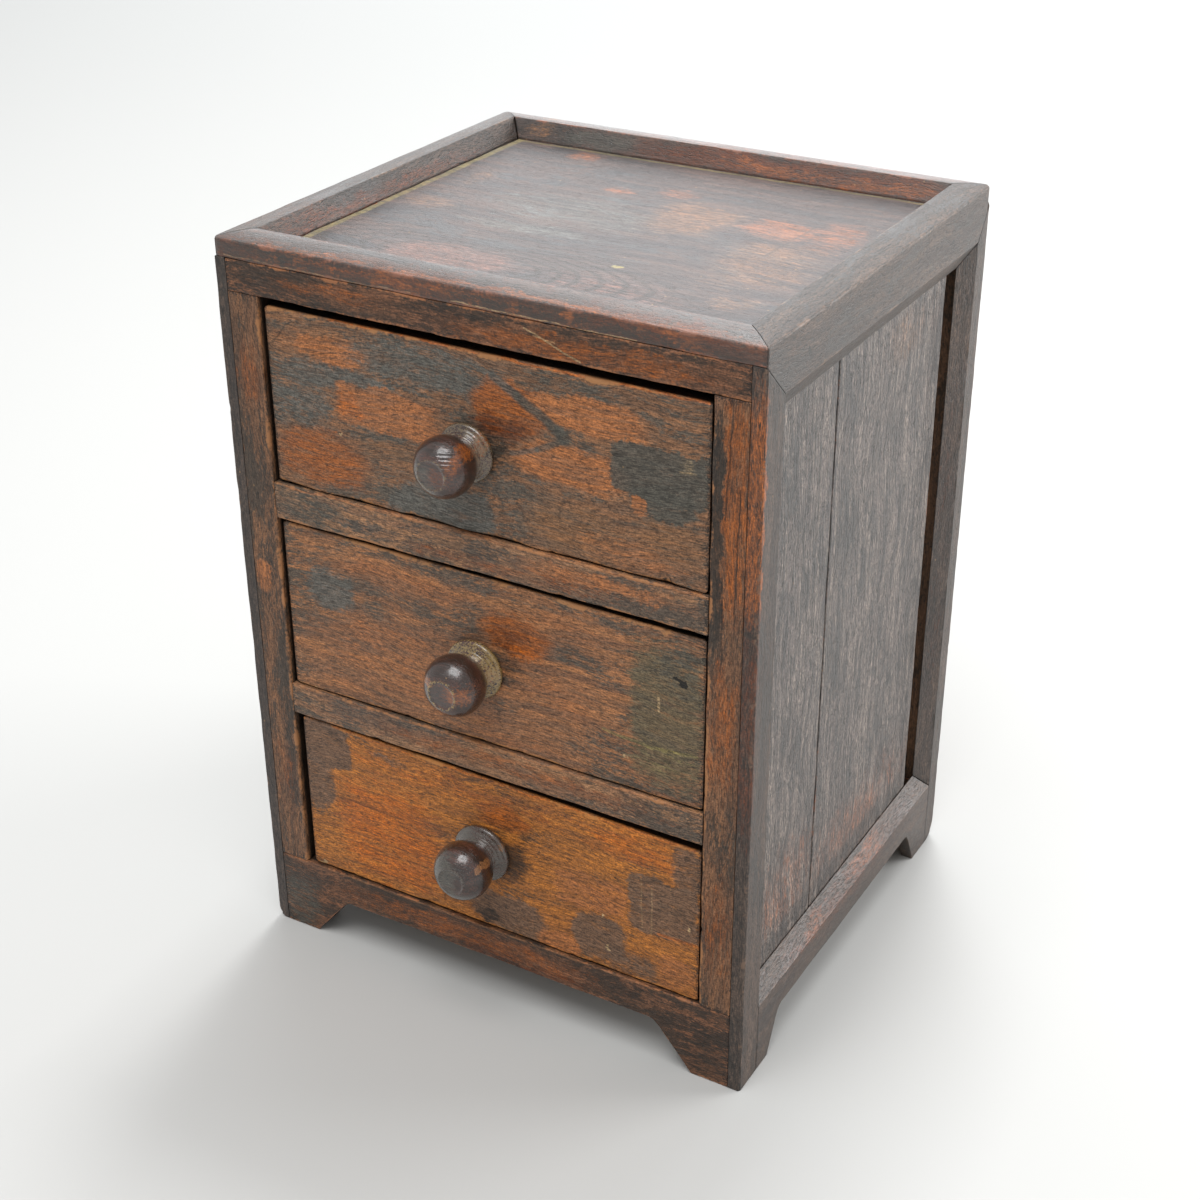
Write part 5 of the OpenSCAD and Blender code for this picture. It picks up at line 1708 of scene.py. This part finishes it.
class Studio:
    """Floor, lamps, world and camera."""

    def floor(self) -> None:
        """Lays a plain pale floor."""
        mesh = bpy.data.meshes.new("floor")
        far = 5.0
        mesh.from_pydata([(-far, -far, 0), (far, -far, 0), (far, far, 0), (-far, far, 0)], [], [(0, 1, 2, 3)])
        floor = stand("floor", mesh)
        material = bpy.data.materials.new("floor")
        material.use_nodes = True
        tree = material.node_tree
        Net(tree).fill(tree.nodes["Principled BSDF"], Base_Color=(0.48, 0.48, 0.47), Roughness=0.9)
        floor.data.materials.append(material)

    def lamp(self, name: str, place: tuple[float, float, float], size: float, power: float,
             colour: Colour = (1.0, 1.0, 1.0)) -> None:
        """Hangs a square soft lamp that looks at the middle of the chest.

        Args:
            name: Name of the lamp.
            place: Where it hangs, in metres.
            size: Its side in metres.
            power: Its power in watts.
            colour: Colour of its light.
        """
        light = bpy.data.lights.new(name, "AREA")
        light.shape, light.size, light.energy, light.color = "SQUARE", size, power, colour
        lamp = stand(name, light)
        back = np.array(place) - (0, 0, 0.12)
        back /= np.linalg.norm(back)
        side = np.cross((0, 1, 0.01), back)
        side /= np.linalg.norm(side)
        up = np.cross(back, side)
        lamp.matrix_world = facing(side, up, back, place)

    def world(self) -> None:
        """Surrounds the chest with even pale light."""
        world = bpy.data.worlds.new("studio")
        bpy.context.scene.world = world
        world.use_nodes = True
        Net(world.node_tree).fill(world.node_tree.nodes["Background"], Color=(1.0, 1.0, 1.0), Strength=0.65)

    def camera(self) -> None:
        """Sets the camera by its azimuth, its angle of height and its roll, in degrees."""
        azimuth, height, roll = (math.radians(v) for v in (30.19, 28.65, -0.249))
        level = math.cos(height)
        back = np.array([math.sin(azimuth) * level, -math.cos(azimuth) * level, math.sin(height)])
        right = np.array([math.cos(azimuth), math.sin(azimuth), 0.0])
        up = np.cross(back, right)
        cos, sin = math.cos(roll), math.sin(roll)
        turned = (cos * right + sin * up, cos * up - sin * right, back)
        data = bpy.data.cameras.new("camera")
        data.lens, data.sensor_width, data.clip_start = 59.313, 36.0, 0.01
        camera = stand("camera", data)
        place = (0.2872, (-423.8 + FRONT_Y) * MM, 0.4289)
        camera.matrix_world = facing(*turned, place)
        bpy.context.scene.camera = camera

    def build(self) -> None:
        """Builds the studio."""
        scene = bpy.context.scene
        scene.view_settings.view_transform = "Standard"
        self.floor()
        self.world()
        self.lamp("window", (-0.7, 1.9, 0.95), 2.3, 38.0, (0.93, 0.97, 1.0))
        self.lamp("skylight", (-0.14, 0.62, 1.5), 0.36, 14.0)
        self.lamp("overhead", (0.1, -0.6, 1.5), 0.9, 15.5)
        self.lamp("right", (1.25, 1.1, 0.5), 1.0, 30.0)
        self.camera()


def main() -> None:
    """Builds the chest and its studio."""
    logging.basicConfig(level=logging.INFO, format="%(name)s %(message)s")
    shop = Workshop()
    Studio().build()
    TopFrame(shop).build()
    SideFrame(shop, left=False).build()
    SideFrame(shop, left=True).build()
    FaceFrame(shop, back=False).build()
    FaceFrame(shop, back=True).build()
    Inside(shop).build()
    middle = S.opening_h / 2
    level = Ridges((5.3, -5.6, 5.0), (-0.12, 0.3, 0.95), 3.6, 1.15, 0.16)
    slanted = Ridges((4.0, -7.4, 3.9), (-0.62, 0.0, 0.78), 3.4, 0.95, 0.14)
    upper = Knob(S.upper_z + middle - 4.1, 9.1, 9.2, level)
    central = Knob(S.middle_z + middle - 3.6, 9.8, 9.7)
    lower = Knob(S.lower_z + middle - 0.6, 10.0, 9.6, slanted)
    Drawer(shop, "upper", 0.3, UPPER_FRONT, upper, 81).build()
    Drawer(shop, "middle", 1.3, MIDDLE_FRONT, central, 82).build()
    Drawer(shop, "lower", 2.3, LOWER_FRONT, lower, 83).build()


if __name__ == "__main__":
    main()
